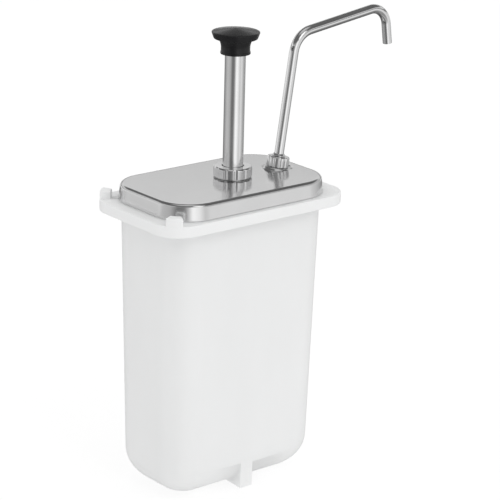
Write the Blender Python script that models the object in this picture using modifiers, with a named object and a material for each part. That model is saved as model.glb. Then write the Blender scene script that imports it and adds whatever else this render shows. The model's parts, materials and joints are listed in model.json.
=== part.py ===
"""Condiment pump dispenser: a deep plastic jar with a steel lid that carries a plunger pump.

Frame: the origin is at the centre of the jar's flat bottom, +X runs along the jar towards the
spout, +Y across it and +Z up. All sizes are in metres.
"""
import math

import bmesh
import bpy
from mathutils import Matrix, Vector

# ---- Driving dimensions -------------------------------------------------------------------

GAP = 0.0003                     # clearance between pieces that touch
MERGE = 0.00001                  # distance at which turned profiles are closed

# Jar
JAR_LENGTH = 0.181               # outside, at the bottom
JAR_WIDTH = 0.1004               # outside, at the bottom
JAR_DRAFT = 0.0055               # how far each wall leans out up to the lid
JAR_WALL = 0.0025
JAR_FLOOR = 0.003
JAR_CORNER = 0.0276              # upright corner radius
JAR_EDGE = 0.036                 # radius between wall and bottom
JAR_SEAT_HEIGHT = 0.2966         # top face of the flange
FLANGE_REACH_END = 0.01665       # flange beyond the walls' top, at each end
FLANGE_REACH_SIDE = 0.01255      # and at each side
FLANGE_CORNER = 0.028
FLANGE_PLATE = 0.0025
LIP_DEPTH = 0.0112               # turned-down edge of the flange
TAB_HEIGHT = 0.0080              # two corner tabs that locate the lid
TAB_WALL = 0.0105
TAB_HALF_ANGLE = math.radians(18.0)
FOOT_WIDTH = 0.015               # rib that fills the rounded bottom edge
FOOT_INSET = 0.0003
FOOT_RISE = 0.0002

# Lid
LID_SETBACK_END = 0.0159         # flat top inside the flange's edge, at each end
LID_SETBACK_SIDE = 0.00825       # and at each side
LID_CORNER = 0.0352
LID_ROLL = 0.0016                # radius of the rolled edge
LID_HEIGHT = 0.0161              # top face to skirt edge
LID_FLARE = 0.0014               # how far the skirt leans out
LID_SHEET = 0.001
BOSS_MARGIN = 0.00175            # the tube's leaning seat beyond the nut on it
BOSS_SLOPE = 0.0028              # from the seat's flat face out to the lid's flat top
BOSS_LAP = 0.0009                # how far the seat's rim runs into the lid's sheet
BOSS_RISE = 0.001
CUT_REACH = 0.006                # how far a cutter runs past what it cuts

# Pump cylinder
PUMP_X = 0.0136                  # pump axis, from the jar's centre
CYLINDER_WALL = 0.0013
SHOULDER_RIM = 0.005             # shoulder beyond the cylinder
SHOULDER_HEIGHT = 0.0035
GASKET_HEIGHT = 0.0015
VENT_DROP = 0.040                # vent hole below the shoulder
VENT_RADIUS = 0.002

# Lock collar on the lid
COLLAR_WALL = 0.00565
COLLAR_HEIGHT = 0.0102
COLLAR_LIP = 0.0020
COLLAR_CHAMFER = 0.0013
COLLAR_FLUTES = 12
FLUTE_RADIUS = 0.0030
FLUTE_DEPTH = 0.0008
WASHER_HEIGHT = 0.0008

# Plunger
STROKE = 0.058
TUBE_RADIUS = 0.01025
TUBE_WALL = 0.0012
BUSHING_WALL = 0.00185           # fills the cylinder's bore round the tube
BUSHING_DROP = 0.0130            # bushing length below the neck's end
BUSHING_FLANGE = 0.0010
COLLARS = 3                      # portion collars that shorten the stroke
PORTION_HEIGHT = 0.004
STOP_HEIGHT = 0.004
STOP_PLAY = 0.0008               # between the stop ring and the bore
TUBE_TAIL = 0.002
ROD_RADIUS = 0.004
ROD_END_RADIUS = 0.003
KNOB_RISE = 0.1243               # knob's lower face above the lid
KNOB_HEIGHT = 0.0257
KNOB_RADIUS = 0.0238
KNOB_RIM = 0.0078                # height of the knob's tapered rim
KNOB_RIM_RADIUS = 0.0214
KNOB_WALL = 0.00375              # neck round the tube's socket
KNOB_FLARE = 0.002               # how much wider the neck is under the rim
KNOB_SOCKET = 0.006
KNOB_DOME = 0.0030

# Piston
PISTON_CLEARANCE = 0.0003
PISTON_HEIGHT = 0.014
PISTON_GROOVE = 0.0012
SEAL_HEIGHT = 0.006
SEAL_LIP = 0.0014
DISC_HEIGHT = 0.0015
DISC_INSET = 0.0012              # washers inside the piston's edge
NUT_HEIGHT = 0.005
NUT_FLATS = 0.010
THREAD_TAIL = 0.002

# Valve body
INLET_HEIGHT = 0.020             # inlet above the jar's bottom
INLET_RADIUS = 0.0110
INLET_BORE = 0.0048
VALVE_RIM = 0.0025               # valve body beyond the cylinder that stands on it
VALVE_BASE = 0.036
VALVE_TOP = 0.0657               # where the cylinder stands on it
SPIGOT_HEIGHT = 0.0085
CHAMBER_RADIUS = 0.0075
CHAMBER_BASE = 0.031
BALL_RADIUS = 0.006
BALL_LIFT = 0.005
PIN_RADIUS = 0.0012
O_RING = 0.0009                  # cross-section radius of the small O-rings
PASSAGE_RADIUS = 0.003
PASSAGE_HEIGHT = 0.0435

# Discharge tube
SPOUT_PLAY = 0.001115            # between tube and cylinder, at the valve body's top
SPOUT_LEAN = math.radians(8.57)
ARM_RISE = math.radians(8.05)
SPOUT_RADIUS = 0.0047625         # 3/8 in tube
SPOUT_WALL = 0.0009
BEND_HEIGHT = 0.1338             # corner where riser and arm meet, above the lid
BEND_RADIUS = 0.024
ARM_LENGTH = 0.1187              # between the two corners
TIP_LENGTH = 0.0410
TIP_RADIUS = 0.020
SOCKET_WALL = 0.0010375          # round the O-ring's recess
SOCKET_BASE = 0.040
SOCKET_TOP = 0.0655
OUTLET_PLAY = 0.0010625          # between the ball and its chamber
OUTLET_LIFT = 0.003
OUTLET_SEAT = 0.0480
SLEEVE_WALL = 0.0011375
SLEEVE_RIM = 0.0038              # shoulder beyond the sleeve
SPOUT_NUT_WALL = 0.00475
SPOUT_NUT_HEIGHT = 0.0105
SPOUT_NUT_LIP = 0.0018
FERRULE_HEIGHT = 0.0022

# Return spring
WIRE_RADIUS = 0.0008
COIL_PLAY = 0.0021               # between the spring and the bore
COIL_TURNS = 9

# Facets
ROUND = 36
FINE = 24
SMALL = 16
CORNER_STEPS = 6
EDGE_STEPS = 6
BEND_STEPS = 7
COIL_STEPS = 10

# ---- Sizes that follow --------------------------------------------------------------------

FLANGE_LENGTH = JAR_LENGTH + 2 * (JAR_DRAFT + FLANGE_REACH_END)
FLANGE_WIDTH = JAR_WIDTH + 2 * (JAR_DRAFT + FLANGE_REACH_SIDE)
LID_LENGTH = FLANGE_LENGTH - 2 * LID_SETBACK_END
LID_WIDTH = FLANGE_WIDTH - 2 * LID_SETBACK_SIDE
LID_TOP = JAR_SEAT_HEIGHT + GAP + LID_HEIGHT
LID_UNDER = LID_TOP - LID_SHEET
BORE_RADIUS = TUBE_RADIUS + BUSHING_WALL + 2 * GAP
CYLINDER_RADIUS = BORE_RADIUS + CYLINDER_WALL
NECK_RADIUS = CYLINDER_RADIUS - CYLINDER_WALL / 2
SHOULDER_RADIUS = CYLINDER_RADIUS + SHOULDER_RIM
VALVE_RADIUS = CYLINDER_RADIUS + VALVE_RIM
COLLAR_RADIUS = NECK_RADIUS + GAP + COLLAR_WALL
WASHER_RADIUS = COLLAR_RADIUS - COLLAR_CHAMFER
STOP_RADIUS = BORE_RADIUS - STOP_PLAY
KNOB_NECK = TUBE_RADIUS + GAP + KNOB_WALL
KNOB_NECK_TOP = KNOB_NECK + KNOB_FLARE
GASKET_TOP = LID_UNDER - GAP
SHOULDER_TOP = GASKET_TOP - GASKET_HEIGHT - GAP
WASHER_BASE = LID_TOP + GAP
COLLAR_BASE = WASHER_BASE + WASHER_HEIGHT + GAP
COLLAR_TOP = COLLAR_BASE + COLLAR_HEIGHT
BUSHING_TOP = COLLAR_TOP - COLLAR_LIP - GAP
BUSHING_SEAT = BUSHING_TOP - BUSHING_FLANGE
BUSHING_BASE = BUSHING_SEAT - BUSHING_DROP
STOP_TOP = BUSHING_BASE - GAP - COLLARS * (PORTION_HEIGHT + GAP)
TUBE_BASE = STOP_TOP - STOP_HEIGHT - TUBE_TAIL
KNOB_BASE = LID_TOP + KNOB_RISE
SOCKET_DEPTH = KNOB_BASE + KNOB_SOCKET
SPIGOT_TOP = VALVE_TOP + SPIGOT_HEIGHT
COIL_SOLID = 2 * WIRE_RADIUS * (COIL_TURNS + 3)
DISC_BASE = SPIGOT_TOP + COIL_SOLID + STROKE
SEAL_BASE = DISC_BASE + DISC_HEIGHT + GAP
PISTON_BASE = SEAL_BASE + SEAL_HEIGHT + GAP
UPPER_DISC = PISTON_BASE + PISTON_HEIGHT + GAP
ROD_STEP = UPPER_DISC + DISC_HEIGHT + GAP
NUT_BASE = DISC_BASE - GAP - NUT_HEIGHT
PISTON_RADIUS = BORE_RADIUS - PISTON_CLEARANCE
DISC_RADIUS = PISTON_RADIUS - DISC_INSET
COIL_RADIUS = BORE_RADIUS - COIL_PLAY - WIRE_RADIUS
OUTLET_BALL = SPOUT_RADIUS + GAP - OUTLET_PLAY
SOCKET_RADIUS = SPOUT_RADIUS + 2 * O_RING + 2 * GAP + SOCKET_WALL
SLEEVE_RADIUS = SPOUT_RADIUS + GAP + SLEEVE_WALL
SLEEVE_SHOULDER = SLEEVE_RADIUS + SLEEVE_RIM
SPOUT_NUT_RADIUS = SLEEVE_RADIUS + GAP + SPOUT_NUT_WALL
BOSS_FACE = SPOUT_NUT_RADIUS + BOSS_MARGIN
BOSS_RADIUS = BOSS_FACE + BOSS_SLOPE
BALL_SEAT = CHAMBER_BASE + math.sqrt(BALL_RADIUS ** 2 - INLET_BORE ** 2) + GAP
PIN_HEIGHT = BALL_SEAT + BALL_RADIUS + BALL_LIFT + PIN_RADIUS + GAP
SPOUT_AXIS = Vector((math.sin(SPOUT_LEAN), 0.0, math.cos(SPOUT_LEAN)))
ARM_AXIS = Vector((math.cos(ARM_RISE), 0.0, math.sin(ARM_RISE)))
TIP_AXIS = Vector((math.sin(ARM_RISE), 0.0, -math.cos(ARM_RISE)))
SPOUT_FOOT = PUMP_X + CYLINDER_RADIUS + SPOUT_RADIUS / math.cos(SPOUT_LEAN) + SPOUT_PLAY
SPOUT_X = SPOUT_FOOT + (LID_TOP - VALVE_TOP) * math.tan(SPOUT_LEAN)
SPOUT_ORIGIN = Vector((SPOUT_X, 0.0, LID_TOP))
LEAN = Matrix.Rotation(SPOUT_LEAN, 4, "Y")

# ---- Scene and materials ------------------------------------------------------------------


def clear_scene():
    """Remove whatever the scene holds."""
    for item in list(bpy.data.objects):
        bpy.data.objects.remove(item, do_unlink=True)


def new_collection(name):
    """Add a collection to the scene."""
    collection = bpy.data.collections.new(name)
    bpy.context.scene.collection.children.link(collection)
    return collection


def new_material(name, color, roughness, metallic):
    """Make a plain Principled material."""
    material = bpy.data.materials.new(name)
    material.use_nodes = True
    shader = material.node_tree.nodes["Principled BSDF"]
    shader.inputs["Base Color"].default_value = (*color, 1.0)
    shader.inputs["Roughness"].default_value = roughness
    shader.inputs["Metallic"].default_value = metallic
    return material


clear_scene()
PARTS = new_collection("condiment_pump_dispenser")
CUTTERS = new_collection("cutters")

STEEL = new_material("polished_steel", (0.62, 0.62, 0.62), 0.18, 1.0)
BRUSHED = new_material("brushed_steel", (0.66, 0.66, 0.67), 0.34, 1.0)
PHENOLIC = new_material("black_phenolic", (0.012, 0.012, 0.013), 0.16, 0.0)
MILKY = new_material("milky_plastic", (0.86, 0.87, 0.87), 0.42, 0.0)
ACETAL = new_material("white_acetal", (0.80, 0.80, 0.78), 0.38, 0.0)
RUBBER = new_material("grey_rubber", (0.10, 0.10, 0.11), 0.65, 0.0)

# ---- Modelling helpers --------------------------------------------------------------------


def add_object(name, mesh, material, collection=None, matrix=None):
    """Put a mesh in the scene as a named object."""
    body = bpy.data.objects.new(name, mesh)
    (collection or PARTS).objects.link(body)
    if material is not None:
        mesh.materials.append(material)
    if matrix is not None:
        body.matrix_world = matrix
    return body


def as_guide(body):
    """Mark an object as a cutter, which is not a part."""
    body.hide_render = True
    body.display_type = "WIRE"
    return body


def smooth(mesh, angle=math.radians(35.0)):
    """Shade a mesh smooth, with its sharp edges kept."""
    mesh.shade_smooth()
    mesh.set_sharp_from_angle(angle=angle)


def turned(name, profile, material, matrix, steps=FINE, closed=True, collection=None):
    """Turn a profile of (radius, height) points about the object's Z axis.

    The points run down the outer side. A closed profile comes back up the inner side; an open
    one starts and ends on the axis.
    """
    mesh = bpy.data.meshes.new(name)
    count = len(profile)
    edges = [(i, i + 1) for i in range(count - 1)]
    if closed:
        edges.append((count - 1, 0))
    mesh.from_pydata([(radius, 0.0, height) for radius, height in profile], edges, [])
    body = add_object(name, mesh, material, collection, matrix)
    screw = body.modifiers.new("turn", "SCREW")
    screw.angle = math.tau
    screw.steps = steps
    screw.render_steps = steps
    screw.use_smooth_shade = True
    screw.use_merge_vertices = True
    screw.merge_threshold = MERGE
    return body


def ring(outer, inner, top, base, chamfer=0.0):
    """Profile of a plain ring, with its outer edges chamfered."""
    if not chamfer:
        return [(outer, top), (outer, base), (inner, base), (inner, top)]
    return [(outer - chamfer, top), (outer, top - chamfer), (outer, base + chamfer),
            (outer - chamfer, base), (inner, base), (inner, top)]


def rod_profile(radius, top, base, chamfer=0.0):
    """Profile of a solid round bar, open at the axis."""
    if not chamfer:
        return [(0.0, top), (radius, top), (radius, base), (0.0, base)]
    return [(0.0, top), (radius - chamfer, top), (radius, top - chamfer),
            (radius, base + chamfer), (radius - chamfer, base), (0.0, base)]


def cut(body, tool, operation="DIFFERENCE"):
    """Cut or join a body with another mesh object, which becomes a guide."""
    modifier = body.modifiers.new(tool.name, "BOOLEAN")
    modifier.object = as_guide(tool)
    modifier.operation = operation
    modifier.solver = "EXACT"


def at_pump(height=0.0):
    """Place a piece on the pump's axis."""
    return Matrix.Translation((PUMP_X, 0.0, height))


def at_spout(distance=0.0):
    """Place a piece on the leaning axis of the discharge tube, from the lid's top face."""
    return Matrix.Translation(SPOUT_ORIGIN + SPOUT_AXIS * distance) @ LEAN


def spout_distance(height):
    """Distance along the leaning axis at which it passes a height."""
    return (height - LID_TOP) / math.cos(SPOUT_LEAN)


def rounded_rectangle(length, width, radius, height):
    """Points of a rounded rectangle, anticlockwise from above."""
    points = []
    for turn, (side_x, side_y) in enumerate(((1, 1), (-1, 1), (-1, -1), (1, -1))):
        centre_x = side_x * (length / 2 - radius)
        centre_y = side_y * (width / 2 - radius)
        for step in range(CORNER_STEPS + 1):
            angle = math.pi / 2 * (turn + step / CORNER_STEPS)
            points.append((centre_x + radius * math.cos(angle),
                           centre_y + radius * math.sin(angle), height))
    return points


def skin(name, outlines, material, hoop=False, collection=None):
    """Skin a row of closed outlines, which ends in two caps or joins up as a hoop."""
    shape = bmesh.new()
    rings = [[shape.verts.new(point) for point in outline] for outline in outlines]
    count = len(rings[0])
    followers = rings[1:] + rings[:1] if hoop else rings[1:]
    for lower, upper in zip(rings, followers):
        for i in range(count):
            j = (i + 1) % count
            shape.faces.new((lower[i], lower[j], upper[j], upper[i]))
    if not hoop:
        shape.faces.new(rings[0])
        shape.faces.new(rings[-1])
    bmesh.ops.recalc_face_normals(shape, faces=shape.faces)
    mesh = bpy.data.meshes.new(name)
    shape.to_mesh(mesh)
    shape.free()
    smooth(mesh)
    return add_object(name, mesh, material, collection)


def loft(name, sections, material):
    """Skin rounded rectangles, each given as length, width, corner radius and height."""
    return skin(name, [rounded_rectangle(*section) for section in sections], material)


def curve_to_mesh(curve_object, name, material, collection=None):
    """Replace a curve object with a welded mesh of the same shape."""
    bpy.context.view_layer.update()
    graph = bpy.context.evaluated_depsgraph_get()
    mesh = bpy.data.meshes.new_from_object(curve_object.evaluated_get(graph))
    mesh.materials.clear()
    shape = bmesh.new()
    shape.from_mesh(mesh)
    bmesh.ops.remove_doubles(shape, verts=shape.verts, dist=MERGE)
    bmesh.ops.recalc_face_normals(shape, faces=shape.faces)
    shape.to_mesh(mesh)
    shape.free()
    smooth(mesh)
    matrix = curve_object.matrix_world.copy()
    bpy.data.objects.remove(curve_object, do_unlink=True)
    return add_object(name, mesh, material, collection, matrix)


def wire(name, points, radius, material, resolution=4, collection=None):
    """Sweep a round section along points."""
    curve = bpy.data.curves.new(name, "CURVE")
    curve.dimensions = "3D"
    curve.bevel_depth = radius
    curve.bevel_resolution = resolution
    curve.use_fill_caps = True
    spline = curve.splines.new("POLY")
    spline.points.add(len(points) - 1)
    for target, point in zip(spline.points, points):
        target.co = (*point, 1.0)
    body = bpy.data.objects.new(name, curve)
    PARTS.objects.link(body)
    return curve_to_mesh(body, name, material, collection)


def plate(name, outline, thickness, material, matrix, collection=None):
    """Extrude a flat outline both ways from its own XY plane."""
    curve = bpy.data.curves.new(name, "CURVE")
    curve.dimensions = "2D"
    curve.fill_mode = "BOTH"
    curve.extrude = thickness / 2
    spline = curve.splines.new("POLY")
    spline.points.add(len(outline) - 1)
    for target, (x, y) in zip(spline.points, outline):
        target.co = (x, y, 0.0, 1.0)
    spline.use_cyclic_u = True
    body = bpy.data.objects.new(name, curve)
    PARTS.objects.link(body)
    body.matrix_world = matrix
    return curve_to_mesh(body, name, material, collection)


def ball(name, radius, material, matrix):
    """Make a check ball."""
    shape = bmesh.new()
    bmesh.ops.create_uvsphere(shape, u_segments=SMALL, v_segments=12, radius=radius)
    mesh = bpy.data.meshes.new(name)
    shape.to_mesh(mesh)
    shape.free()
    mesh.shade_smooth()
    return add_object(name, mesh, material, None, matrix)


def torus_profile(ring_radius, section_radius, height, sides=8):
    """Profile of an O-ring, down its outer side."""
    return [(ring_radius + section_radius * math.cos(math.pi / 2 - math.tau * i / sides),
             height + section_radius * math.sin(math.pi / 2 - math.tau * i / sides))
            for i in range(sides)]


# ---- Jar ----------------------------------------------------------------------------------


def jar_span(height):
    """Outside length and width of the jar's walls at a height."""
    spread = 2 * JAR_DRAFT * height / LID_TOP
    return JAR_LENGTH + spread, JAR_WIDTH + spread


def bowl_sections(wall, floor, top):
    """Sections of the jar's skin from its bottom up, set in by a wall thickness."""
    edge = JAR_EDGE - wall
    corner = JAR_CORNER - wall
    sections = []
    for step in range(EDGE_STEPS + 1):
        angle = math.pi / 2 * step / EDGE_STEPS
        height = floor + edge * (1 - math.cos(angle))
        inset = wall + edge * (1 - math.sin(angle))
        length, width = jar_span(height)
        blend = corner * (0.28 + 0.72 * math.sin(angle))
        sections.append((length - 2 * inset, width - 2 * inset, blend, height))
    length, width = jar_span(top)
    sections.append((length - 2 * wall, width - 2 * wall, corner, top))
    return sections


def corner_tab(side):
    """Upright tab on the flange's left corner, on one side."""
    centre_x = -(FLANGE_LENGTH / 2 - FLANGE_CORNER)
    centre_y = side * (FLANGE_WIDTH / 2 - FLANGE_CORNER)
    middle = math.radians(180.0 - side * 45.0)
    outer = FLANGE_CORNER - FOOT_INSET
    inner = outer - TAB_WALL
    steps = 4
    outline = []
    for radius, order in ((outer, range(steps + 1)), (inner, range(steps, -1, -1))):
        for step in order:
            angle = middle + TAB_HALF_ANGLE * (2 * step / steps - 1)
            outline.append((centre_x + radius * math.cos(angle),
                            centre_y + radius * math.sin(angle)))
    sunk = FLANGE_PLATE / 2
    height = TAB_HEIGHT + sunk
    middle_height = JAR_SEAT_HEIGHT - sunk + height / 2
    tab = plate(f"tab_{'back' if side > 0 else 'front'}", outline, height, None,
                Matrix.Translation((0.0, 0.0, middle_height)), CUTTERS)
    rounding = tab.modifiers.new("round", "BEVEL")
    rounding.width = 0.0012
    rounding.segments = 2
    return tab


def foot_rib(side):
    """Rib that fills the rounded bottom edge at the middle of a long side."""
    half_width = JAR_WIDTH / 2
    centre = half_width - JAR_EDGE
    reach = JAR_EDGE - JAR_WALL / 2
    outline = [(half_width - FOOT_INSET, FOOT_RISE), (half_width - FOOT_INSET, JAR_EDGE)]
    steps = 8
    for step in range(steps, -1, -1):
        angle = math.pi / 2 * step / steps
        outline.append((centre + reach * math.sin(angle),
                        JAR_EDGE + FOOT_RISE - reach * math.cos(angle)))
    turn = Matrix(((0.0, 0.0, 1.0, 0.0), (side, 0.0, 0.0, 0.0),
                   (0.0, 1.0, 0.0, 0.0), (0.0, 0.0, 0.0, 1.0)))
    return plate(f"foot_{'back' if side > 0 else 'front'}", outline, FOOT_WIDTH, None, turn,
                 CUTTERS)


def build_jar():
    """Deep jar with a turned-down flange, two corner tabs and two foot ribs."""
    under = JAR_SEAT_HEIGHT - FLANGE_PLATE
    lip = JAR_SEAT_HEIGHT - LIP_DEPTH
    inner_length = FLANGE_LENGTH - 2 * FLANGE_PLATE
    inner_width = FLANGE_WIDTH - 2 * FLANGE_PLATE
    inner_corner = FLANGE_CORNER - FLANGE_PLATE
    round_off = FLANGE_PLATE * 0.4
    sections = bowl_sections(0.0, 0.0, under)
    sections += [
        (inner_length, inner_width, inner_corner, under),
        (inner_length, inner_width, inner_corner, lip),
        (FLANGE_LENGTH, FLANGE_WIDTH, FLANGE_CORNER, lip),
        (FLANGE_LENGTH, FLANGE_WIDTH, FLANGE_CORNER, JAR_SEAT_HEIGHT - round_off),
        (FLANGE_LENGTH - 2 * round_off, FLANGE_WIDTH - 2 * round_off,
         FLANGE_CORNER - round_off, JAR_SEAT_HEIGHT),
    ]
    sections += reversed(bowl_sections(JAR_WALL, JAR_FLOOR, JAR_SEAT_HEIGHT))
    jar = loft("jar", sections, MILKY)
    for side in (-1, 1):
        cut(jar, corner_tab(side), "UNION")
        cut(jar, foot_rib(side), "UNION")


# ---- Lid ----------------------------------------------------------------------------------


def tray_sections(inset, top):
    """Sections of the lid's skin from its flat top down to the skirt's edge."""
    roll = LID_ROLL - inset * 0.5
    sections = []
    for step in range(4):
        angle = math.pi / 2 * step / 3
        out = roll * math.sin(angle) - inset - LID_ROLL * 0.5
        sections.append((LID_LENGTH + 2 * out, LID_WIDTH + 2 * out, LID_CORNER + out,
                         top - roll * (1 - math.cos(angle))))
    out = roll - inset - LID_ROLL * 0.5 + LID_FLARE
    sections.append((LID_LENGTH + 2 * out, LID_WIDTH + 2 * out, LID_CORNER + out,
                     LID_TOP - LID_HEIGHT))
    return sections


def seat_outline(radius, height, share):
    """Circle about the discharge tube's place, tilted by a share of the tube's lean."""
    turn = Matrix.Rotation(SPOUT_LEAN * share, 4, "Y")
    return [SPOUT_ORIGIN + turn @ Vector((radius * math.cos(math.tau * i / ROUND),
                                          radius * math.sin(math.tau * i / ROUND), height))
            for i in range(ROUND)]


def tilted_seat():
    """Pressed seat that turns from the lid's plane to the discharge tube's lean."""
    rim = BOSS_RADIUS + BOSS_LAP
    step = LID_SHEET * 0.2
    low = LID_SHEET - step
    hole = SLEEVE_RADIUS + GAP
    rows = [(rim, -step, 0.0), (BOSS_RADIUS - BOSS_LAP, -step, 0.0),
            (BOSS_FACE, BOSS_RISE, 1.0), (hole, BOSS_RISE, 1.0),
            (hole, BOSS_RISE - LID_SHEET, 1.0), (BOSS_FACE, BOSS_RISE - LID_SHEET, 1.0),
            (BOSS_RADIUS - BOSS_LAP, -low - step, 0.0), (BOSS_RADIUS - step, -low, 0.0),
            (rim, -low, 0.0)]
    return skin("tilted_seat", [seat_outline(*row) for row in rows], None, True, CUTTERS)


def build_lid():
    """Pressed steel lid with a flared skirt, the pump's hole and the tilted seat."""
    sections = tray_sections(0.0, LID_TOP)
    sections += reversed(tray_sections(LID_SHEET, LID_UNDER))
    lid = loft("lid", sections, BRUSHED)
    neck_hole = NECK_RADIUS + 2 * GAP
    through = (LID_TOP + CUT_REACH, LID_UNDER - CUT_REACH)
    cut(lid, turned("lid_hole", rod_profile(neck_hole, *through), None, at_pump(), FINE,
                    False, CUTTERS))
    cut(lid, turned("seat_hole", rod_profile(BOSS_RADIUS, *through), None,
                    Matrix.Translation((SPOUT_X, 0.0, 0.0)), ROUND, False, CUTTERS))
    cut(lid, tilted_seat(), "UNION")


# ---- Collar, cylinder and guide -----------------------------------------------------------


def fluted_collar(name, radius, height, bore, lip, chamfer, matrix, throat):
    """Round nut with grip flutes, an open bore below and a smaller throat in its top lip."""
    profile = [(radius - chamfer, height), (radius, height - chamfer), (radius, GAP),
               (radius - GAP, 0.0), (bore, 0.0), (bore, height - lip), (throat, height - lip),
               (throat, height)]
    body = turned(name, profile, STEEL, matrix, ROUND)
    shape = bmesh.new()
    scale = radius / COLLAR_RADIUS
    flute = FLUTE_RADIUS * scale
    for index in range(COLLAR_FLUTES):
        angle = math.tau * (index + 0.5) / COLLAR_FLUTES
        reach = radius + flute - FLUTE_DEPTH * scale
        place = Matrix.Translation((reach * math.cos(angle), reach * math.sin(angle),
                                    height / 2))
        bmesh.ops.create_cone(shape, cap_ends=True, segments=12, radius1=flute, radius2=flute,
                              depth=height + 2 * CUT_REACH, matrix=place)
    mesh = bpy.data.meshes.new(f"{name}_flutes")
    shape.to_mesh(mesh)
    shape.free()
    cut(body, add_object(f"{name}_flutes", mesh, None, CUTTERS, matrix))


def build_collar():
    """Lock collar on the lid with its washer."""
    bore = NECK_RADIUS + GAP
    turned("collar_washer", ring(WASHER_RADIUS, bore, WASHER_HEIGHT, 0.0), STEEL,
           at_pump(WASHER_BASE), ROUND)
    fluted_collar("lock_collar", COLLAR_RADIUS, COLLAR_HEIGHT, bore, COLLAR_LIP,
                  COLLAR_CHAMFER, at_pump(COLLAR_BASE), TUBE_RADIUS + 2 * GAP)


def build_cylinder():
    """Steel cylinder with its shoulder, neck and vent hole, the gasket and the bushing."""
    neck = NECK_RADIUS
    base = VALVE_TOP + GAP
    neck_top = BUSHING_SEAT - GAP
    profile = [(neck, neck_top), (neck, SHOULDER_TOP), (SHOULDER_RADIUS, SHOULDER_TOP),
               (SHOULDER_RADIUS, SHOULDER_TOP - SHOULDER_HEIGHT),
               (CYLINDER_RADIUS, SHOULDER_TOP - SHOULDER_HEIGHT), (CYLINDER_RADIUS, base),
               (BORE_RADIUS, base), (BORE_RADIUS, neck_top)]
    cylinder = turned("cylinder", profile, STEEL, at_pump(), ROUND)
    vent = turned("vent_hole", rod_profile(VENT_RADIUS, CYLINDER_RADIUS + CUT_REACH, 0.0),
                  None, Matrix.Translation((PUMP_X, 0.0, SHOULDER_TOP - VENT_DROP))
                  @ Matrix.Rotation(-math.pi / 2, 4, "Y"), 12, False, CUTTERS)
    cut(cylinder, vent)
    turned("cylinder_gasket", ring(SHOULDER_RADIUS, neck + GAP, GASKET_TOP,
                                   GASKET_TOP - GASKET_HEIGHT), RUBBER, at_pump(), ROUND)
    outer = BORE_RADIUS - GAP
    inner = TUBE_RADIUS + GAP
    bushing = [(neck - GAP, BUSHING_TOP), (neck - GAP, BUSHING_SEAT), (outer, BUSHING_SEAT),
               (outer, BUSHING_BASE), (inner, BUSHING_BASE), (inner, BUSHING_TOP)]
    turned("guide_bushing", bushing, ACETAL, at_pump(), FINE)


# ---- Plunger ------------------------------------------------------------------------------


def knob_profile():
    """Mushroom knob: domed top, tapered rim, waisted neck, and the two sockets under it."""
    top = KNOB_BASE + KNOB_HEIGHT
    rim_top = top - KNOB_DOME
    rim_base = rim_top - KNOB_RIM
    points = [(0.0, top)]
    for step in range(1, 6):
        share = step / 5
        points.append((KNOB_RADIUS * 0.98 * share, rim_top + KNOB_DOME * (1 - share ** 1.25)))
    points += [(KNOB_RADIUS, rim_top - 0.0008), (KNOB_RIM_RADIUS + 0.0006, rim_base + 0.0007),
               (KNOB_RIM_RADIUS - 0.0006, rim_base)]
    steps = 6
    for step in range(steps + 1):
        share = step / steps
        points.append((KNOB_NECK + (KNOB_NECK_TOP - KNOB_NECK) * (1 - share) ** 2,
                       rim_base - 0.0012 - 0.0080 * share))
    points += [(KNOB_NECK, KNOB_BASE + 0.0006), (KNOB_NECK - 0.0006, KNOB_BASE)]
    socket = TUBE_RADIUS + GAP
    bore = ROD_RADIUS + GAP
    rod_top = KNOB_BASE + KNOB_HEIGHT * 0.6
    points += [(socket, KNOB_BASE), (socket, SOCKET_DEPTH), (bore, SOCKET_DEPTH),
               (bore, rod_top), (0.0, rod_top)]
    return points, rod_top


def build_plunger():
    """Knob, polished sleeve, rod and portion collars."""
    points, rod_top = knob_profile()
    turned("knob", points, PHENOLIC, at_pump(), ROUND, False)
    tube_top = SOCKET_DEPTH - GAP
    stop_base = STOP_TOP - STOP_HEIGHT
    inner = TUBE_RADIUS - TUBE_WALL
    sleeve = [(TUBE_RADIUS, tube_top), (TUBE_RADIUS, STOP_TOP), (STOP_RADIUS, STOP_TOP),
              (STOP_RADIUS, stop_base), (TUBE_RADIUS, stop_base), (TUBE_RADIUS, TUBE_BASE),
              (inner, TUBE_BASE), (inner, tube_top)]
    turned("plunger_tube", sleeve, STEEL, at_pump(), ROUND)
    for index in range(COLLARS):
        top = BUSHING_BASE - GAP - index * (PORTION_HEIGHT + GAP)
        turned(f"portion_collar_{index + 1}",
               ring(STOP_RADIUS, TUBE_RADIUS + GAP, top, top - PORTION_HEIGHT), ACETAL,
               at_pump(), FINE)
    rod_end = NUT_BASE - THREAD_TAIL
    rod = [(0.0, rod_top - GAP), (ROD_RADIUS, rod_top - GAP), (ROD_RADIUS, ROD_STEP),
           (ROD_END_RADIUS, ROD_STEP), (ROD_END_RADIUS, rod_end), (0.0, rod_end)]
    turned("piston_rod", rod, STEEL, at_pump(), SMALL, False)


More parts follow.
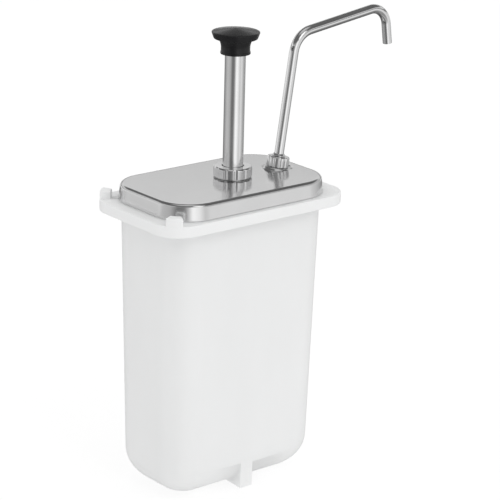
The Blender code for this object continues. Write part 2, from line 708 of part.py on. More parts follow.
def build_piston():
    """Piston head, cup seal, the two washers and the nut on the rod's end."""
    hole = ROD_END_RADIUS + GAP
    top = PISTON_BASE + PISTON_HEIGHT
    groove = PISTON_RADIUS - PISTON_GROOVE
    middle = PISTON_BASE + PISTON_HEIGHT / 2
    head = [(PISTON_RADIUS, top), (PISTON_RADIUS, middle + PISTON_GROOVE),
            (groove, middle + PISTON_GROOVE), (groove, middle - PISTON_GROOVE),
            (PISTON_RADIUS, middle - PISTON_GROOVE), (PISTON_RADIUS, PISTON_BASE),
            (hole, PISTON_BASE), (hole, top)]
    turned("piston_head", head, ACETAL, at_pump(), FINE)
    web = SEAL_BASE + SEAL_HEIGHT * 0.45
    seal_top = SEAL_BASE + SEAL_HEIGHT
    hub = DISC_RADIUS - SEAL_LIP
    cup = [(PISTON_RADIUS - 0.001, seal_top), (PISTON_RADIUS, SEAL_BASE),
           (PISTON_RADIUS - SEAL_LIP, SEAL_BASE), (hub, web), (hub, SEAL_BASE),
           (hole, SEAL_BASE), (hole, seal_top)]
    turned("piston_seal", cup, RUBBER, at_pump(), FINE)
    for name, base in (("piston_washer_upper", UPPER_DISC), ("piston_washer_lower", DISC_BASE)):
        turned(name, ring(DISC_RADIUS, hole, base + DISC_HEIGHT, base), STEEL, at_pump(), FINE)
    corner = NUT_FLATS / math.sqrt(3.0)
    outline = [(corner * math.cos(math.pi / 3 * i), corner * math.sin(math.pi / 3 * i))
               for i in range(6)]
    nut = plate("piston_nut", outline, NUT_HEIGHT, STEEL, at_pump(NUT_BASE + NUT_HEIGHT / 2))
    cut(nut, turned("nut_hole", rod_profile(hole, NUT_BASE + NUT_HEIGHT + CUT_REACH,
                                            NUT_BASE - CUT_REACH),
                    None, at_pump(), SMALL, False, CUTTERS))


def build_spring():
    """Return spring between the valve body and the lower piston washer."""
    low = SPIGOT_TOP + GAP + WIRE_RADIUS
    high = DISC_BASE - GAP - WIRE_RADIUS
    closed_rise = 2 * WIRE_RADIUS + GAP
    total = (COIL_TURNS + 2) * COIL_STEPS
    points = []
    for step in range(total + 1):
        turns = step / COIL_STEPS
        if turns < 1:
            height = low + closed_rise * turns
        elif turns > COIL_TURNS + 1:
            height = high - closed_rise * (COIL_TURNS + 2 - turns)
        else:
            share = (turns - 1) / COIL_TURNS
            height = low + closed_rise + (high - low - 2 * closed_rise) * share
        angle = math.tau * turns
        points.append((PUMP_X + COIL_RADIUS * math.cos(angle), COIL_RADIUS * math.sin(angle),
                       height))
    wire("return_spring", points, WIRE_RADIUS, STEEL, 2)


# ---- Valve body ---------------------------------------------------------------------------


def build_valve_body():
    """Foot of the pump: inlet, ball chamber, spigot and the leaning outlet socket."""
    spigot = BORE_RADIUS - GAP
    groove_top = SPIGOT_TOP - 0.0024
    groove_base = groove_top - 2 * O_RING - 2 * GAP
    groove = spigot - 2 * O_RING - GAP
    profile = [(spigot, SPIGOT_TOP), (spigot, groove_top), (groove, groove_top),
               (groove, groove_base), (spigot, groove_base), (spigot, VALVE_TOP),
               (VALVE_RADIUS, VALVE_TOP), (VALVE_RADIUS, VALVE_BASE + 0.002),
               (VALVE_RADIUS - 0.002, VALVE_BASE), (INLET_RADIUS, VALVE_BASE),
               (INLET_RADIUS, INLET_HEIGHT + 0.002), (INLET_RADIUS - 0.002, INLET_HEIGHT),
               (INLET_BORE, INLET_HEIGHT), (INLET_BORE, CHAMBER_BASE),
               (CHAMBER_RADIUS, CHAMBER_BASE), (CHAMBER_RADIUS, SPIGOT_TOP)]
    body = turned("valve_body", profile, ACETAL, at_pump(), FINE)
    low = spout_distance(SOCKET_BASE)
    high = spout_distance(SOCKET_TOP) - SOCKET_RADIUS * math.tan(SPOUT_LEAN)
    socket = turned("outlet_socket", rod_profile(SOCKET_RADIUS, high, low, 0.001), None,
                    at_spout(), FINE, False, CUTTERS)
    cut(body, socket, "UNION")
    cut(body, turned("body_chamber", rod_profile(CHAMBER_RADIUS, SPIGOT_TOP + CUT_REACH,
                                                 CHAMBER_BASE + GAP),
                     None, at_pump(), FINE, False, CUTTERS))
    seat = spout_distance(OUTLET_SEAT)
    recess = high - 2 * O_RING - GAP
    bore = [(0.0, high + CUT_REACH), (SPOUT_RADIUS + 2 * O_RING + 2 * GAP, high + CUT_REACH),
            (SPOUT_RADIUS + 2 * O_RING + 2 * GAP, recess), (SPOUT_RADIUS + GAP, recess),
            (SPOUT_RADIUS + GAP, seat), (PASSAGE_RADIUS, seat),
            (PASSAGE_RADIUS, spout_distance(PASSAGE_HEIGHT)),
            (0.0, spout_distance(PASSAGE_HEIGHT))]
    cut(body, turned("outlet_bore", bore, None, at_spout(), SMALL, False, CUTTERS))
    length = SPOUT_ORIGIN.x + SPOUT_AXIS.x * spout_distance(PASSAGE_HEIGHT) - PUMP_X
    passage = turned("outlet_passage", rod_profile(PASSAGE_RADIUS * 0.95, length + 0.001, 0.0),
                     None, Matrix.Translation((PUMP_X, 0.0, PASSAGE_HEIGHT + 0.0005))
                     @ Matrix.Rotation(math.pi / 2, 4, "Y"), 16, False, CUTTERS)
    cut(body, passage)
    across = Matrix.Translation((PUMP_X, 0.0, PIN_HEIGHT)) @ Matrix.Rotation(
        math.pi / 2, 4, "X")
    cut(body, turned("pin_hole", rod_profile(PIN_RADIUS + GAP, VALVE_RADIUS + CUT_REACH,
                                             -VALVE_RADIUS - CUT_REACH),
                     None, across, 16, False, CUTTERS))
    turned("inlet_ball_pin", rod_profile(PIN_RADIUS, VALVE_RADIUS, -VALVE_RADIUS), STEEL,
           across, 12, False)
    ball("inlet_ball", BALL_RADIUS, STEEL, at_pump(BALL_SEAT))
    turned("cylinder_o_ring", torus_profile(groove + GAP + O_RING, O_RING,
                                            groove_base + GAP + O_RING), RUBBER,
           at_pump(), FINE)
    return seat, recess


# ---- Discharge tube -----------------------------------------------------------------------


def bend(corner, before, after, radius):
    """Points of a round bend that joins two straight runs at a corner."""
    angle = before.angle(after)
    start = corner - before * radius * math.tan(angle / 2)
    across = (after - before * before.dot(after)).normalized()
    centre = start + across * radius
    return [centre + radius * (before * math.sin(angle * i / BEND_STEPS)
                               - across * math.cos(angle * i / BEND_STEPS))
            for i in range(BEND_STEPS + 1)]


def build_spout(seat, recess):
    """Bent discharge tube, its outlet ball and seals, and the nut that holds it to the lid."""
    drop = math.sqrt(OUTLET_BALL ** 2 - PASSAGE_RADIUS ** 2)
    centre = seat + drop + GAP
    ball("outlet_ball", OUTLET_BALL, STEEL, at_spout(centre))
    start = SPOUT_ORIGIN + SPOUT_AXIS * (centre + OUTLET_BALL + OUTLET_LIFT + GAP)
    first = SPOUT_ORIGIN + SPOUT_AXIS * (BEND_HEIGHT / math.cos(SPOUT_LEAN))
    second = first + ARM_AXIS * ARM_LENGTH
    tip = second + TIP_AXIS * TIP_LENGTH
    route = [start, *bend(first, SPOUT_AXIS, ARM_AXIS, BEND_RADIUS),
             *bend(second, ARM_AXIS, TIP_AXIS, TIP_RADIUS), tip]
    tube = wire("discharge_tube", route, SPOUT_RADIUS, STEEL, 4)
    inner = [start - SPOUT_AXIS * CUT_REACH, *route[1:-1], tip + TIP_AXIS * CUT_REACH]
    cut(tube, wire("discharge_bore", inner, SPOUT_RADIUS - SPOUT_WALL, None, 2, CUTTERS))
    turned("discharge_o_ring", torus_profile(SPOUT_RADIUS + GAP + O_RING, O_RING,
                                             recess + GAP + O_RING), RUBBER, at_spout(), FINE)
    seat_top = BOSS_RISE
    under = seat_top - LID_SHEET - GAP
    hole = SPOUT_RADIUS + GAP
    gasket = ring(SLEEVE_SHOULDER, SLEEVE_RADIUS + GAP, under, under - 0.001)
    turned("discharge_gasket", gasket, RUBBER, at_spout(), FINE)
    shoulder = under - 0.001 - GAP
    nut_base = seat_top + GAP
    nut_top = nut_base + SPOUT_NUT_HEIGHT
    sleeve_top = nut_top - SPOUT_NUT_LIP - GAP
    sleeve = [(SLEEVE_RADIUS, sleeve_top), (SLEEVE_RADIUS, shoulder),
              (SLEEVE_SHOULDER, shoulder), (SLEEVE_SHOULDER, shoulder - 0.002),
              (SLEEVE_RADIUS, shoulder - 0.002), (SLEEVE_RADIUS, shoulder - 0.006),
              (hole, shoulder - 0.006), (hole, sleeve_top)]
    turned("discharge_sleeve", sleeve, STEEL, at_spout(), FINE)
    fluted_collar("discharge_nut", SPOUT_NUT_RADIUS, SPOUT_NUT_HEIGHT, SLEEVE_RADIUS + GAP,
                  SPOUT_NUT_LIP, COLLAR_CHAMFER * 0.7, at_spout(nut_base), hole)
    ferrule = [(hole + 0.0004, nut_top + GAP + FERRULE_HEIGHT),
               (SLEEVE_RADIUS + 0.0004, nut_top + GAP + 0.0006),
               (SLEEVE_RADIUS + 0.0004, nut_top + GAP), (hole, nut_top + GAP),
               (hole, nut_top + GAP + FERRULE_HEIGHT)]
    turned("discharge_ferrule", ferrule, STEEL, at_spout(), FINE)


build_jar()
build_lid()
build_collar()
build_cylinder()
build_plunger()
build_piston()
build_spring()
build_spout(*build_valve_body())
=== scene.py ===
"""Looks of a condiment pump dispenser: a milky jar, a steel lid and the plunger pump through it.

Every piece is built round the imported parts, in their frame: metres, +X along the jar towards the
discharge tube, +Y across it and +Z up from the jar's flat bottom.
"""

import json
import logging
import math
from dataclasses import dataclass
from enum import Enum

import bmesh
import bpy
from mathutils import Matrix, Vector

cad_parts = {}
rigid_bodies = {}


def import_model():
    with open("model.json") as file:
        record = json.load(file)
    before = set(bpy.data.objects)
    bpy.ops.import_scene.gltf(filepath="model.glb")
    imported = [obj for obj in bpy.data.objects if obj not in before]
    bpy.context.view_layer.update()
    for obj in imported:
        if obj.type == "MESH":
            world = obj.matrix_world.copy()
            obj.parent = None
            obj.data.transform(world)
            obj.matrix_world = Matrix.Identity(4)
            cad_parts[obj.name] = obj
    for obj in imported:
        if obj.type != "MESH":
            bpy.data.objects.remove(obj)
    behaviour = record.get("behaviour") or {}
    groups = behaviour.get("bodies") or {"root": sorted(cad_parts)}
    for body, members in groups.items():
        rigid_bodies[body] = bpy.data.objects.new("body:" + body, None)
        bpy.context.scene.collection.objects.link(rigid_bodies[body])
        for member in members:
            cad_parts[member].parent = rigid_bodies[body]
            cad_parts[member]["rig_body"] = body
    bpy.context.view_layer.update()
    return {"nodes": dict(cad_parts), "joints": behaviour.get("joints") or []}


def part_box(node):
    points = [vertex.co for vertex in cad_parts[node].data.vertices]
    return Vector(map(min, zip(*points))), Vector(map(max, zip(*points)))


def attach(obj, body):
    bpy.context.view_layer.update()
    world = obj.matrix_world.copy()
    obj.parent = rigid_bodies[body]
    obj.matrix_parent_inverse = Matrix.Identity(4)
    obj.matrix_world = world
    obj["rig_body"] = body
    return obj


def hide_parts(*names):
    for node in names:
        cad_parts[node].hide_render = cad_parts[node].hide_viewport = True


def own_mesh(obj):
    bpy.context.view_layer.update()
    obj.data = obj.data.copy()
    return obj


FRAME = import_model()
LOG = logging.getLogger("dispenser")

GAP = 0.0003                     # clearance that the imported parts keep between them
SHARP = math.radians(32.0)       # edges that turn more than this stay sharp
MERGE = 0.000004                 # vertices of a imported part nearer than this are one
ON_AXIS = 1e-7                   # a turned ring narrower than this is a point on the axis
TINY = 1e-9                      # keeps a division from meeting zero
CORNER_SHARE = 0.45              # share of a side that one rounded corner may take
EDGE = 0.0003                    # how far most small edges are rounded
FINE_EDGE = 0.0002               # how far the thinnest parts' edges are rounded
SIDES = 96                       # sides of a turned piece
FINE = 128                       # sides of a large turned piece
BLUNT_TIP = 0.12                 # share of the knob's radius that its tip is rounded over
NOISE_MIDDLE = (0.3, 0.7)        # where most of a noise's values lie

TUBE_RADIUS = 0.01025            # plunger's polished tube
NECK_RADIUS = 0.01335            # cylinder's neck, through the lid
SLEEVE_RADIUS = 0.0062           # sleeve through the leaning seat
SHEET = 0.001                    # lid's steel
SEAT_RISE = 0.001                # leaning seat above the lid's top

Point = tuple[float, ...]


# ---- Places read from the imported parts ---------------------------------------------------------


@dataclass(frozen=True)
class Places:
    """Places that several sub-assemblies share.

    Attributes:
        pump_x: where the pump's axis stands.
        lid_top: height of the lid's flat top.
        seat: height of the jar's flange, under the lid.
        spout_axis: direction of the discharge tube's leaning axis.
        spout_origin: where that axis crosses the lid's top.
    """

    pump_x: float
    lid_top: float
    seat: float
    spout_axis: Vector
    spout_origin: Vector

    @classmethod
    def read(cls) -> "Places":
        """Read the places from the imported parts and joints."""
        collar_low, collar_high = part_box("lock_collar")
        lid_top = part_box("collar_washer")[0].z - GAP
        lift = next(joint for joint in FRAME["joints"] if joint["name"] == "outlet_ball_lift")
        axis = Vector(lift["axis"]).normalized()
        ball_low, ball_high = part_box("outlet_ball")
        ball = (ball_low + ball_high) / 2
        return cls((collar_low.x + collar_high.x) / 2, lid_top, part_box("lid")[0].z - GAP, axis,
                   ball + axis * ((lid_top - ball.z) / axis.z))

    def at_pump(self, height: float = 0.0) -> Matrix:
        """Place on the pump's axis, at a height."""
        return Matrix.Translation((self.pump_x, 0.0, height))

    def at_spout(self, distance: float = 0.0) -> Matrix:
        """Place on the leaning axis, at a distance above the lid's top along it."""
        lean = math.atan2(self.spout_axis.x, self.spout_axis.z)
        return (Matrix.Translation(self.spout_origin + self.spout_axis * distance)
                @ Matrix.Rotation(lean, 4, "Y"))


PLACES = Places.read()


# ---- Mesh tools --------------------------------------------------------------------------------


def rounded(points: list[Point], radius: float, steps: int = 3,
            closed: bool = True) -> list[Point]:
    """Round the corners of a path.

    Args:
        points: the path's corners, in any number of dimensions.
        radius: how far each corner's rounding reaches along its two sides.
        steps: how many short sides replace a corner.
        closed: whether the last point joins the first.

    Returns:
        The path with its corners rounded.
    """
    count = len(points)
    made = []
    for index, corner in enumerate(points):
        if not closed and index in (0, count - 1):
            made.append(tuple(corner))
            continue
        before = points[index - 1]
        after = points[(index + 1) % count]
        reach_in = min(radius / max(math.dist(before, corner), TINY), CORNER_SHARE)
        reach_out = min(radius / max(math.dist(after, corner), TINY), CORNER_SHARE)
        start = [c + (b - c) * reach_in for b, c in zip(before, corner)]
        end = [c + (a - c) * reach_out for a, c in zip(after, corner)]
        for step in range(steps + 1):
            t = step / steps
            made.append(tuple((1 - t) ** 2 * s + 2 * t * (1 - t) * c + t * t * e
                              for s, c, e in zip(start, corner, end)))
    return made


def finish_mesh(name: str, shape: bmesh.types.BMesh, place: Matrix | None = None,
                recalculate: bool = True) -> bpy.types.Object:
    """Turn a bmesh into an object at the origin, smooth with its sharp edges kept.

    Args:
        name: the object's name.
        shape: the bmesh, which is freed.
        place: where the shape goes.
        recalculate: whether its normals are turned outwards.

    Returns:
        The new object.
    """
    if recalculate:
        bmesh.ops.recalc_face_normals(shape, faces=shape.faces)
    if place is not None:
        shape.transform(place)
    mesh = bpy.data.meshes.new(name)
    shape.to_mesh(mesh)
    shape.free()
    mesh.shade_smooth()
    mesh.set_sharp_from_angle(angle=SHARP)
    body = bpy.data.objects.new(name, mesh)
    bpy.context.scene.collection.objects.link(body)
    return body


def turned(name: str, profile: list[Point], place: Matrix, steps: int = SIDES,
           closed: bool = True) -> bpy.types.Object:
    """Turn a profile about its own Z axis.

    Args:
        name: the object's name.
        profile: points of radius and height; an open one starts and ends on the axis.
        place: where the turned shape goes.
        steps: sides of the full turn.
        closed: whether the profile is a loop.

    Returns:
        The turned object.
    """
    shape = bmesh.new()
    rings = []
    for radius, height in profile:
        if radius < ON_AXIS:
            rings.append([shape.verts.new((0.0, 0.0, height))])
        else:
            rings.append([shape.verts.new((radius * math.cos(math.tau * i / steps),
                                           radius * math.sin(math.tau * i / steps), height))
                          for i in range(steps)])
    followers = rings[1:] + rings[:1] if closed else rings[1:]
    for upper, lower in zip(rings, followers):
        for i in range(steps):
            j = (i + 1) % steps
            if len(upper) == 1 and len(lower) == 1:
                continue
            if len(upper) == 1:
                shape.faces.new((upper[0], lower[i], lower[j]))
            elif len(lower) == 1:
                shape.faces.new((upper[i], lower[0], upper[j]))
            else:
                shape.faces.new((upper[i], lower[i], lower[j], upper[j]))
    return finish_mesh(name, shape, place)


def ring_profile(outer: float, inner: float, top: float, base: float,
                 edge: float = FINE_EDGE) -> list[Point]:
    """Profile of a plain ring with softened edges."""
    return rounded([(outer, top), (outer, base), (inner, base), (inner, top)], edge)


def torus_profile(ring: float, section: float, height: float, sides: int = 16) -> list[Point]:
    """Profile of an O-ring."""
    return [(ring + section * math.cos(math.tau * i / sides),
             height - section * math.sin(math.tau * i / sides)) for i in range(sides)]


def rectangle_ring(length: float, width: float, radius: float, height: float,
                   corner_steps: int) -> list[Vector]:
    """Points of a rounded rectangle, anticlockwise from above."""
    points = []
    for turn, (side_x, side_y) in enumerate(((1, 1), (-1, 1), (-1, -1), (1, -1))):
        centre = Vector((side_x * (length / 2 - radius), side_y * (width / 2 - radius), height))
        for step in range(corner_steps + 1):
            angle = math.pi / 2 * (turn + step / corner_steps)
            points.append(centre + Vector((math.cos(angle), math.sin(angle), 0.0)) * radius)
    return points


def bridge(shape: bmesh.types.BMesh, lower: list, upper: list) -> None:
    """Join two rings of vertices with a band of faces."""
    for i in range(len(lower)):
        j = (i + 1) % len(lower)
        shape.faces.new((lower[i], lower[j], upper[j], upper[i]))


def applied(body: bpy.types.Object) -> bpy.types.Object:
    """Bake an object's modifiers into its mesh.

    Args:
        body: the object, which keeps its name.

    Returns:
        The same object with a plain mesh and no modifiers.
    """
    graph = bpy.context.evaluated_depsgraph_get()
    graph.update()
    mesh = bpy.data.meshes.new_from_object(body.evaluated_get(graph))
    body.modifiers.clear()
    body.data = mesh
    mesh.name = body.name
    mesh.shade_smooth()
    mesh.set_sharp_from_angle(angle=SHARP)
    return body


def joined(body: bpy.types.Object, others: list[bpy.types.Object]) -> bpy.types.Object:
    """Unite a body with others, which are then removed."""
    for other in others:
        union = body.modifiers.new(other.name, "BOOLEAN")
        union.object = other
        union.operation = "UNION"
        union.solver = "EXACT"
    applied(body)
    for other in others:
        bpy.data.objects.remove(other, do_unlink=True)
    return body


def smoothed_copy(node: str) -> bpy.types.Object:
    """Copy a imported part's mesh, with its loose triangles merged and shaded smooth."""
    shape = bmesh.new()
    shape.from_mesh(FRAME["nodes"][node].data)
    bmesh.ops.remove_doubles(shape, verts=shape.verts, dist=MERGE)
    return finish_mesh(f"{node}_shell", shape, recalculate=False)


# ---- Node trees --------------------------------------------------------------------------------


class NodeTree:
    """A node tree under construction."""

    def __init__(self, tree: bpy.types.NodeTree) -> None:
        """Take up a tree."""
        self.tree = tree

    def node(self, kind: str, inputs: dict | None = None, **settings: object) -> bpy.types.Node:
        """Add a node.

        Args:
            kind: the node's type.
            inputs: sockets or values by the input's name or number.
            settings: the node's own properties.

        Returns:
            The node.
        """
        made = self.tree.nodes.new(kind)
        for name, value in settings.items():
            setattr(made, name, value)
        for key, value in (inputs or {}).items():
            if isinstance(value, bpy.types.NodeSocket):
                self.tree.links.new(value, made.inputs[key])
            else:
                made.inputs[key].default_value = value
        return made

    def math(self, operation: str, *values: object) -> bpy.types.NodeSocket:
        """Add a math node on sockets or numbers and return its result."""
        return self.node("ShaderNodeMath", dict(enumerate(values)),
                         operation=operation).outputs["Value"]

    def span(self, value: bpy.types.NodeSocket, start: Point,
             end: Point) -> bpy.types.NodeSocket:
        """Carry a value from one range over to another and hold it there.

        Args:
            value: the socket.
            start: the value's range.
            end: the result's range.

        Returns:
            The result's socket.
        """
        return self.node("ShaderNodeMapRange", {"Value": value, "From Min": start[0],
                                                "From Max": start[1], "To Min": end[0],
                                                "To Max": end[1]}).outputs["Result"]


class GeometryTree(NodeTree):
    """A Geometry Nodes tree whose sizes are named inputs."""

    def __init__(self, name: str) -> None:
        """Start a tree with a geometry input and output."""
        super().__init__(bpy.data.node_groups.new(name, "GeometryNodeTree"))
        face = self.tree.interface
        face.new_socket("Geometry", in_out="INPUT", socket_type="NodeSocketGeometry")
        face.new_socket("Geometry", in_out="OUTPUT", socket_type="NodeSocketGeometry")
        self.source = self.node("NodeGroupInput")
        self.sizes: dict[str, float | int] = {}

    def geometry(self) -> bpy.types.NodeSocket:
        """The geometry that comes in."""
        return self.source.outputs["Geometry"]

    def size(self, name: str, value: float | int) -> bpy.types.NodeSocket:
        """Add a named size to the tree's inputs.

        Args:
            name: the input's name.
            value: its value on the piece.

        Returns:
            The socket that gives the size inside the tree.
        """
        kind = "NodeSocketInt" if isinstance(value, int) else "NodeSocketFloat"
        self.tree.interface.new_socket(name, in_out="INPUT", socket_type=kind)
        self.sizes[name] = value
        return self.source.outputs[name]

    def make(self, body: bpy.types.Object, result: bpy.types.NodeSocket,
             material: bpy.types.Material) -> bpy.types.Object:
        """End the tree, run it on an object and bake the result.

        Args:
            body: the object whose geometry comes in.
            result: the tree's last geometry.
            material: the finish that Set Material gives.

        Returns:
            The object with a plain mesh.
        """
        whole = self.node("GeometryNodeRealizeInstances", {"Geometry": result})
        dressed = self.node("GeometryNodeSetMaterial", {"Geometry": whole.outputs["Geometry"],
                                                        "Material": material})
        self.node("NodeGroupOutput", {"Geometry": dressed.outputs["Geometry"]})
        modifier = body.modifiers.new(self.tree.name, "NODES")
        modifier.node_group = self.tree
        for item in self.tree.interface.items_tree:
            if item.in_out == "INPUT" and item.name in self.sizes:
                modifier[item.identifier] = self.sizes[item.name]
        return applied(body)


def line_object(name: str, points: list[Vector]) -> bpy.types.Object:
    """Make an object of points joined by edges, for a tree to work on."""
    mesh = bpy.data.meshes.new(name)
    mesh.from_pydata([tuple(point) for point in points],
                     [(i, i + 1) for i in range(len(points) - 1)], [])
    body = bpy.data.objects.new(name, mesh)
    bpy.context.scene.collection.objects.link(body)
    return body


# ---- Finishes ----------------------------------------------------------------------------------


class Grain(Enum):
    """Direction of a metal's fine grain, as the stretch of its noise on each axis."""

    STRAIGHT = (0.035, 1.0, 1.0)
    ROUND = (0.05, 0.05, 1.0)
    NONE = (1.0, 1.0, 1.0)


class Shader(NodeTree):
    """A Principled material with a few ways to add detail."""

    def __init__(self, name: str, constants: dict[str, object]) -> None:
        """Start a material with the values that are the same all over."""
        self.material = bpy.data.materials.new(name)
        self.material.use_nodes = True
        super().__init__(self.material.node_tree)
        self.surface = self.tree.nodes["Principled BSDF"]
        for socket, value in constants.items():
            self.surface.inputs[socket].default_value = value
        self.place = self.node("ShaderNodeTexCoord").outputs["Object"]

    def noise(self, stretch: Point, scale: float, detail: float = 3.0) -> bpy.types.NodeSocket:
        """Add noise on the piece's own coordinates.

        Args:
            stretch: scale of the coordinates on each axis.
            scale: how fine the noise is, per metre.
            detail: how many finer layers it has.

        Returns:
            The noise, from 0 to 1.
        """
        mapped = self.node("ShaderNodeMapping", {"Vector": self.place, "Scale": stretch})
        return self.node("ShaderNodeTexNoise", {"Vector": mapped.outputs["Vector"],
                                                "Scale": scale,
                                                "Detail": detail}).outputs["Fac"]

    def spread(self, value: bpy.types.NodeSocket, low: float,
               high: float) -> bpy.types.NodeSocket:
        """Spread the middle of a noise over a range."""
        return self.span(value, NOISE_MIDDLE, (low, high))

    def tones(self, value: bpy.types.NodeSocket, first: Point, second: Point) -> None:
        """Colour the surface between two tones."""
        ramp = self.node("ShaderNodeValToRGB", {"Fac": value})
        for stop, place, tone in zip(ramp.color_ramp.elements, NOISE_MIDDLE, (first, second)):
            stop.position = place
            stop.color = (*tone, 1.0)
        self.tree.links.new(ramp.outputs["Color"], self.surface.inputs["Base Color"])

    def roughen(self, value: bpy.types.NodeSocket) -> None:
        """Take the roughness from a socket."""
        self.tree.links.new(value, self.surface.inputs["Roughness"])

    def bump(self, height: bpy.types.NodeSocket, strength: float, distance: float) -> None:
        """Raise the surface by a height."""
        made = self.node("ShaderNodeBump", {"Height": height, "Strength": strength,
                                            "Distance": distance})
        self.tree.links.new(made.outputs["Normal"], self.surface.inputs["Normal"])


@dataclass(frozen=True)
class Steel:
    """Stainless steel with a fine grain and a few soft smudges."""

    name: str
    tone: float
    roughness: float
    grain: Grain
    grain_scale: float = 2600.0
    grain_depth: float = 0.00001
    grain_strength: float = 0.12
    smudge_scale: float = 34.0
    dull: float = 0.97
    bright: Point = (1.03, 1.03, 1.035)
    swing: Point = (0.8, 1.25)

    def material(self) -> bpy.types.Material:
        """Build the material."""
        shader = Shader(self.name, {"Metallic": 1.0})
        grain = shader.noise(self.grain.value, self.grain_scale, 2.0)
        smudge = shader.noise(Grain.NONE.value, self.smudge_scale, 4.0)
        shader.tones(smudge, (self.tone * self.dull,) * 3,
                     tuple(self.tone * share for share in self.bright))
        mean = shader.math("MULTIPLY", shader.math("ADD", grain, smudge), 0.5)
        shader.roughen(shader.spread(mean, *(self.roughness * share for share in self.swing)))
        shader.bump(grain, self.grain_strength, self.grain_depth)
        return shader.material


@dataclass(frozen=True)
class MilkyPlastic:
    """Milky moulded plastic with a satin skin and a soft cloudiness."""

    name: str = "milky_plastic"
    tone: Point = (0.90, 0.905, 0.905)
    dull: Point = (0.87, 0.875, 0.875)
    roughness: float = 0.42
    swing: Point = (0.9, 1.15)
    cloud_shape: Point = (1.0, 1.0, 0.4)
    cloud_scale: float = 14.0
    skin_scale: float = 900.0
    skin_strength: float = 0.08
    skin_depth: float = 0.00004

    def material(self) -> bpy.types.Material:
        """Build the material."""
        shader = Shader(self.name, {"IOR": 1.50, "Subsurface Weight": 0.25,
                                    "Subsurface Scale": 0.004,
                                    "Subsurface Radius": (1.0, 1.0, 1.0)})
        cloud = shader.noise(self.cloud_shape, self.cloud_scale, 3.0)
        skin = shader.noise(Grain.NONE.value, self.skin_scale, 2.0)
        shader.tones(cloud, self.dull, self.tone)
        shader.roughen(shader.spread(skin, *(self.roughness * share for share in self.swing)))
        shader.bump(skin, self.skin_strength, self.skin_depth)
        return shader.material


@dataclass(frozen=True)
class BlackPhenolic:
    """Black moulded phenolic, glossy with faint wear."""

    name: str = "black_phenolic"
    light: Point = (0.018, 0.018, 0.019)
    dark: Point = (0.010, 0.010, 0.011)
    roughness: float = 0.24
    swing: Point = (0.8, 1.4)
    wear_scale: float = 70.0
    skin_scale: float = 1500.0
    skin_strength: float = 0.06
    skin_depth: float = 0.00003

    def material(self) -> bpy.types.Material:
        """Build the material."""
        shader = Shader(self.name, {"IOR": 1.58, "Specular IOR Level": 0.18})
        wear = shader.noise(Grain.NONE.value, self.wear_scale, 5.0)
        skin = shader.noise(Grain.NONE.value, self.skin_scale, 2.0)
        shader.tones(wear, self.dark, self.light)
        shader.roughen(shader.spread(wear, *(self.roughness * share for share in self.swing)))
        shader.bump(skin, self.skin_strength, self.skin_depth)
        return shader.material


@dataclass(frozen=True)
class MouldedPlastic:
    """Plain moulded plastic or rubber for the pump's inner parts."""

    name: str
    light: Point
    dark: Point
    roughness: float
    pit: float = 700.0
    pit_strength: float = 0.1
    pit_depth: float = 0.00004
    patch_scale: float = 60.0
    swing: Point = (0.85, 1.2)

    def material(self) -> bpy.types.Material:
        """Build the material."""
        shader = Shader(self.name, {"IOR": 1.48})
        patch = shader.noise(Grain.NONE.value, self.patch_scale, 4.0)
        skin = shader.noise(Grain.NONE.value, self.pit, 2.0)
        shader.tones(patch, self.dark, self.light)
        shader.roughen(shader.spread(skin, *(self.roughness * share for share in self.swing)))
        shader.bump(skin, self.pit_strength, self.pit_depth)
        return shader.material


class Finish(Enum):
    """The finishes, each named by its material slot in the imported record."""

    MILKY = "milky_plastic"
    BRUSHED = "brushed_steel"
    POLISHED = "polished_steel"
    PHENOLIC = "black_phenolic"
    ACETAL = "white_acetal"
    RUBBER = "seal_rubber"


MATERIALS = {
    Finish.MILKY: MilkyPlastic().material(),
    Finish.BRUSHED: Steel("brushed_steel", 0.68, 0.17, Grain.STRAIGHT).material(),
    Finish.POLISHED: Steel("polished_steel", 0.72, 0.15, Grain.ROUND, 1800.0,
                           0.000006, 0.08).material(),
    Finish.PHENOLIC: BlackPhenolic().material(),
    Finish.ACETAL: MouldedPlastic("white_acetal", (0.80, 0.80, 0.78), (0.75, 0.75, 0.73),
                                  0.38).material(),
    Finish.RUBBER: MouldedPlastic("seal_rubber", (0.10, 0.10, 0.11), (0.06, 0.06, 0.065),
                                  0.62, 1200.0).material(),
}


def dress(piece: bpy.types.Object, finish: Finish, *nodes: str) -> bpy.types.Object:
    """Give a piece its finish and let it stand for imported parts.

    Args:
        piece: the finished mesh.
        finish: its material.
        nodes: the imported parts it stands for, all on one body.

    Returns:
        The piece.
    """
    piece.data.materials.clear()
    piece.data.materials.append(MATERIALS[finish])
    weigh = piece.modifiers.new("weigh", "WEIGHTED_NORMAL")
    weigh.keep_sharp = True
    applied(piece)
    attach(piece, FRAME["nodes"][nodes[0]]["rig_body"])
    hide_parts(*nodes)
    LOG.info("%s: %d faces for %s", piece.name, len(piece.data.polygons), ", ".join(nodes))
    return piece


def turn_piece(node: str, profile: list[Point], finish: Finish, place: Matrix | None = None,
               steps: int = SIDES, closed: bool = True) -> None:
    """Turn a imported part's piece and dress it.

    Args:
        node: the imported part.
        profile: points of radius and height, as for turned.
        finish: its material.
        place: where it goes, if not upright on the pump's axis.
        steps: sides of the full turn.
        closed: whether the profile is a loop.
    """
    place = PLACES.at_pump() if place is None else place
    dress(turned(f"{node}_shell", profile, place, steps, closed), finish, node)


def span(node: str) -> tuple[float, float, float]:
    """Outer radius, top and base of an upright round part, from its packed box."""
    low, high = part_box(node)
    return (high.x - low.x) / 2, high.z, low.z


# ---- Jar ---------------------------------------------------------------------------------------


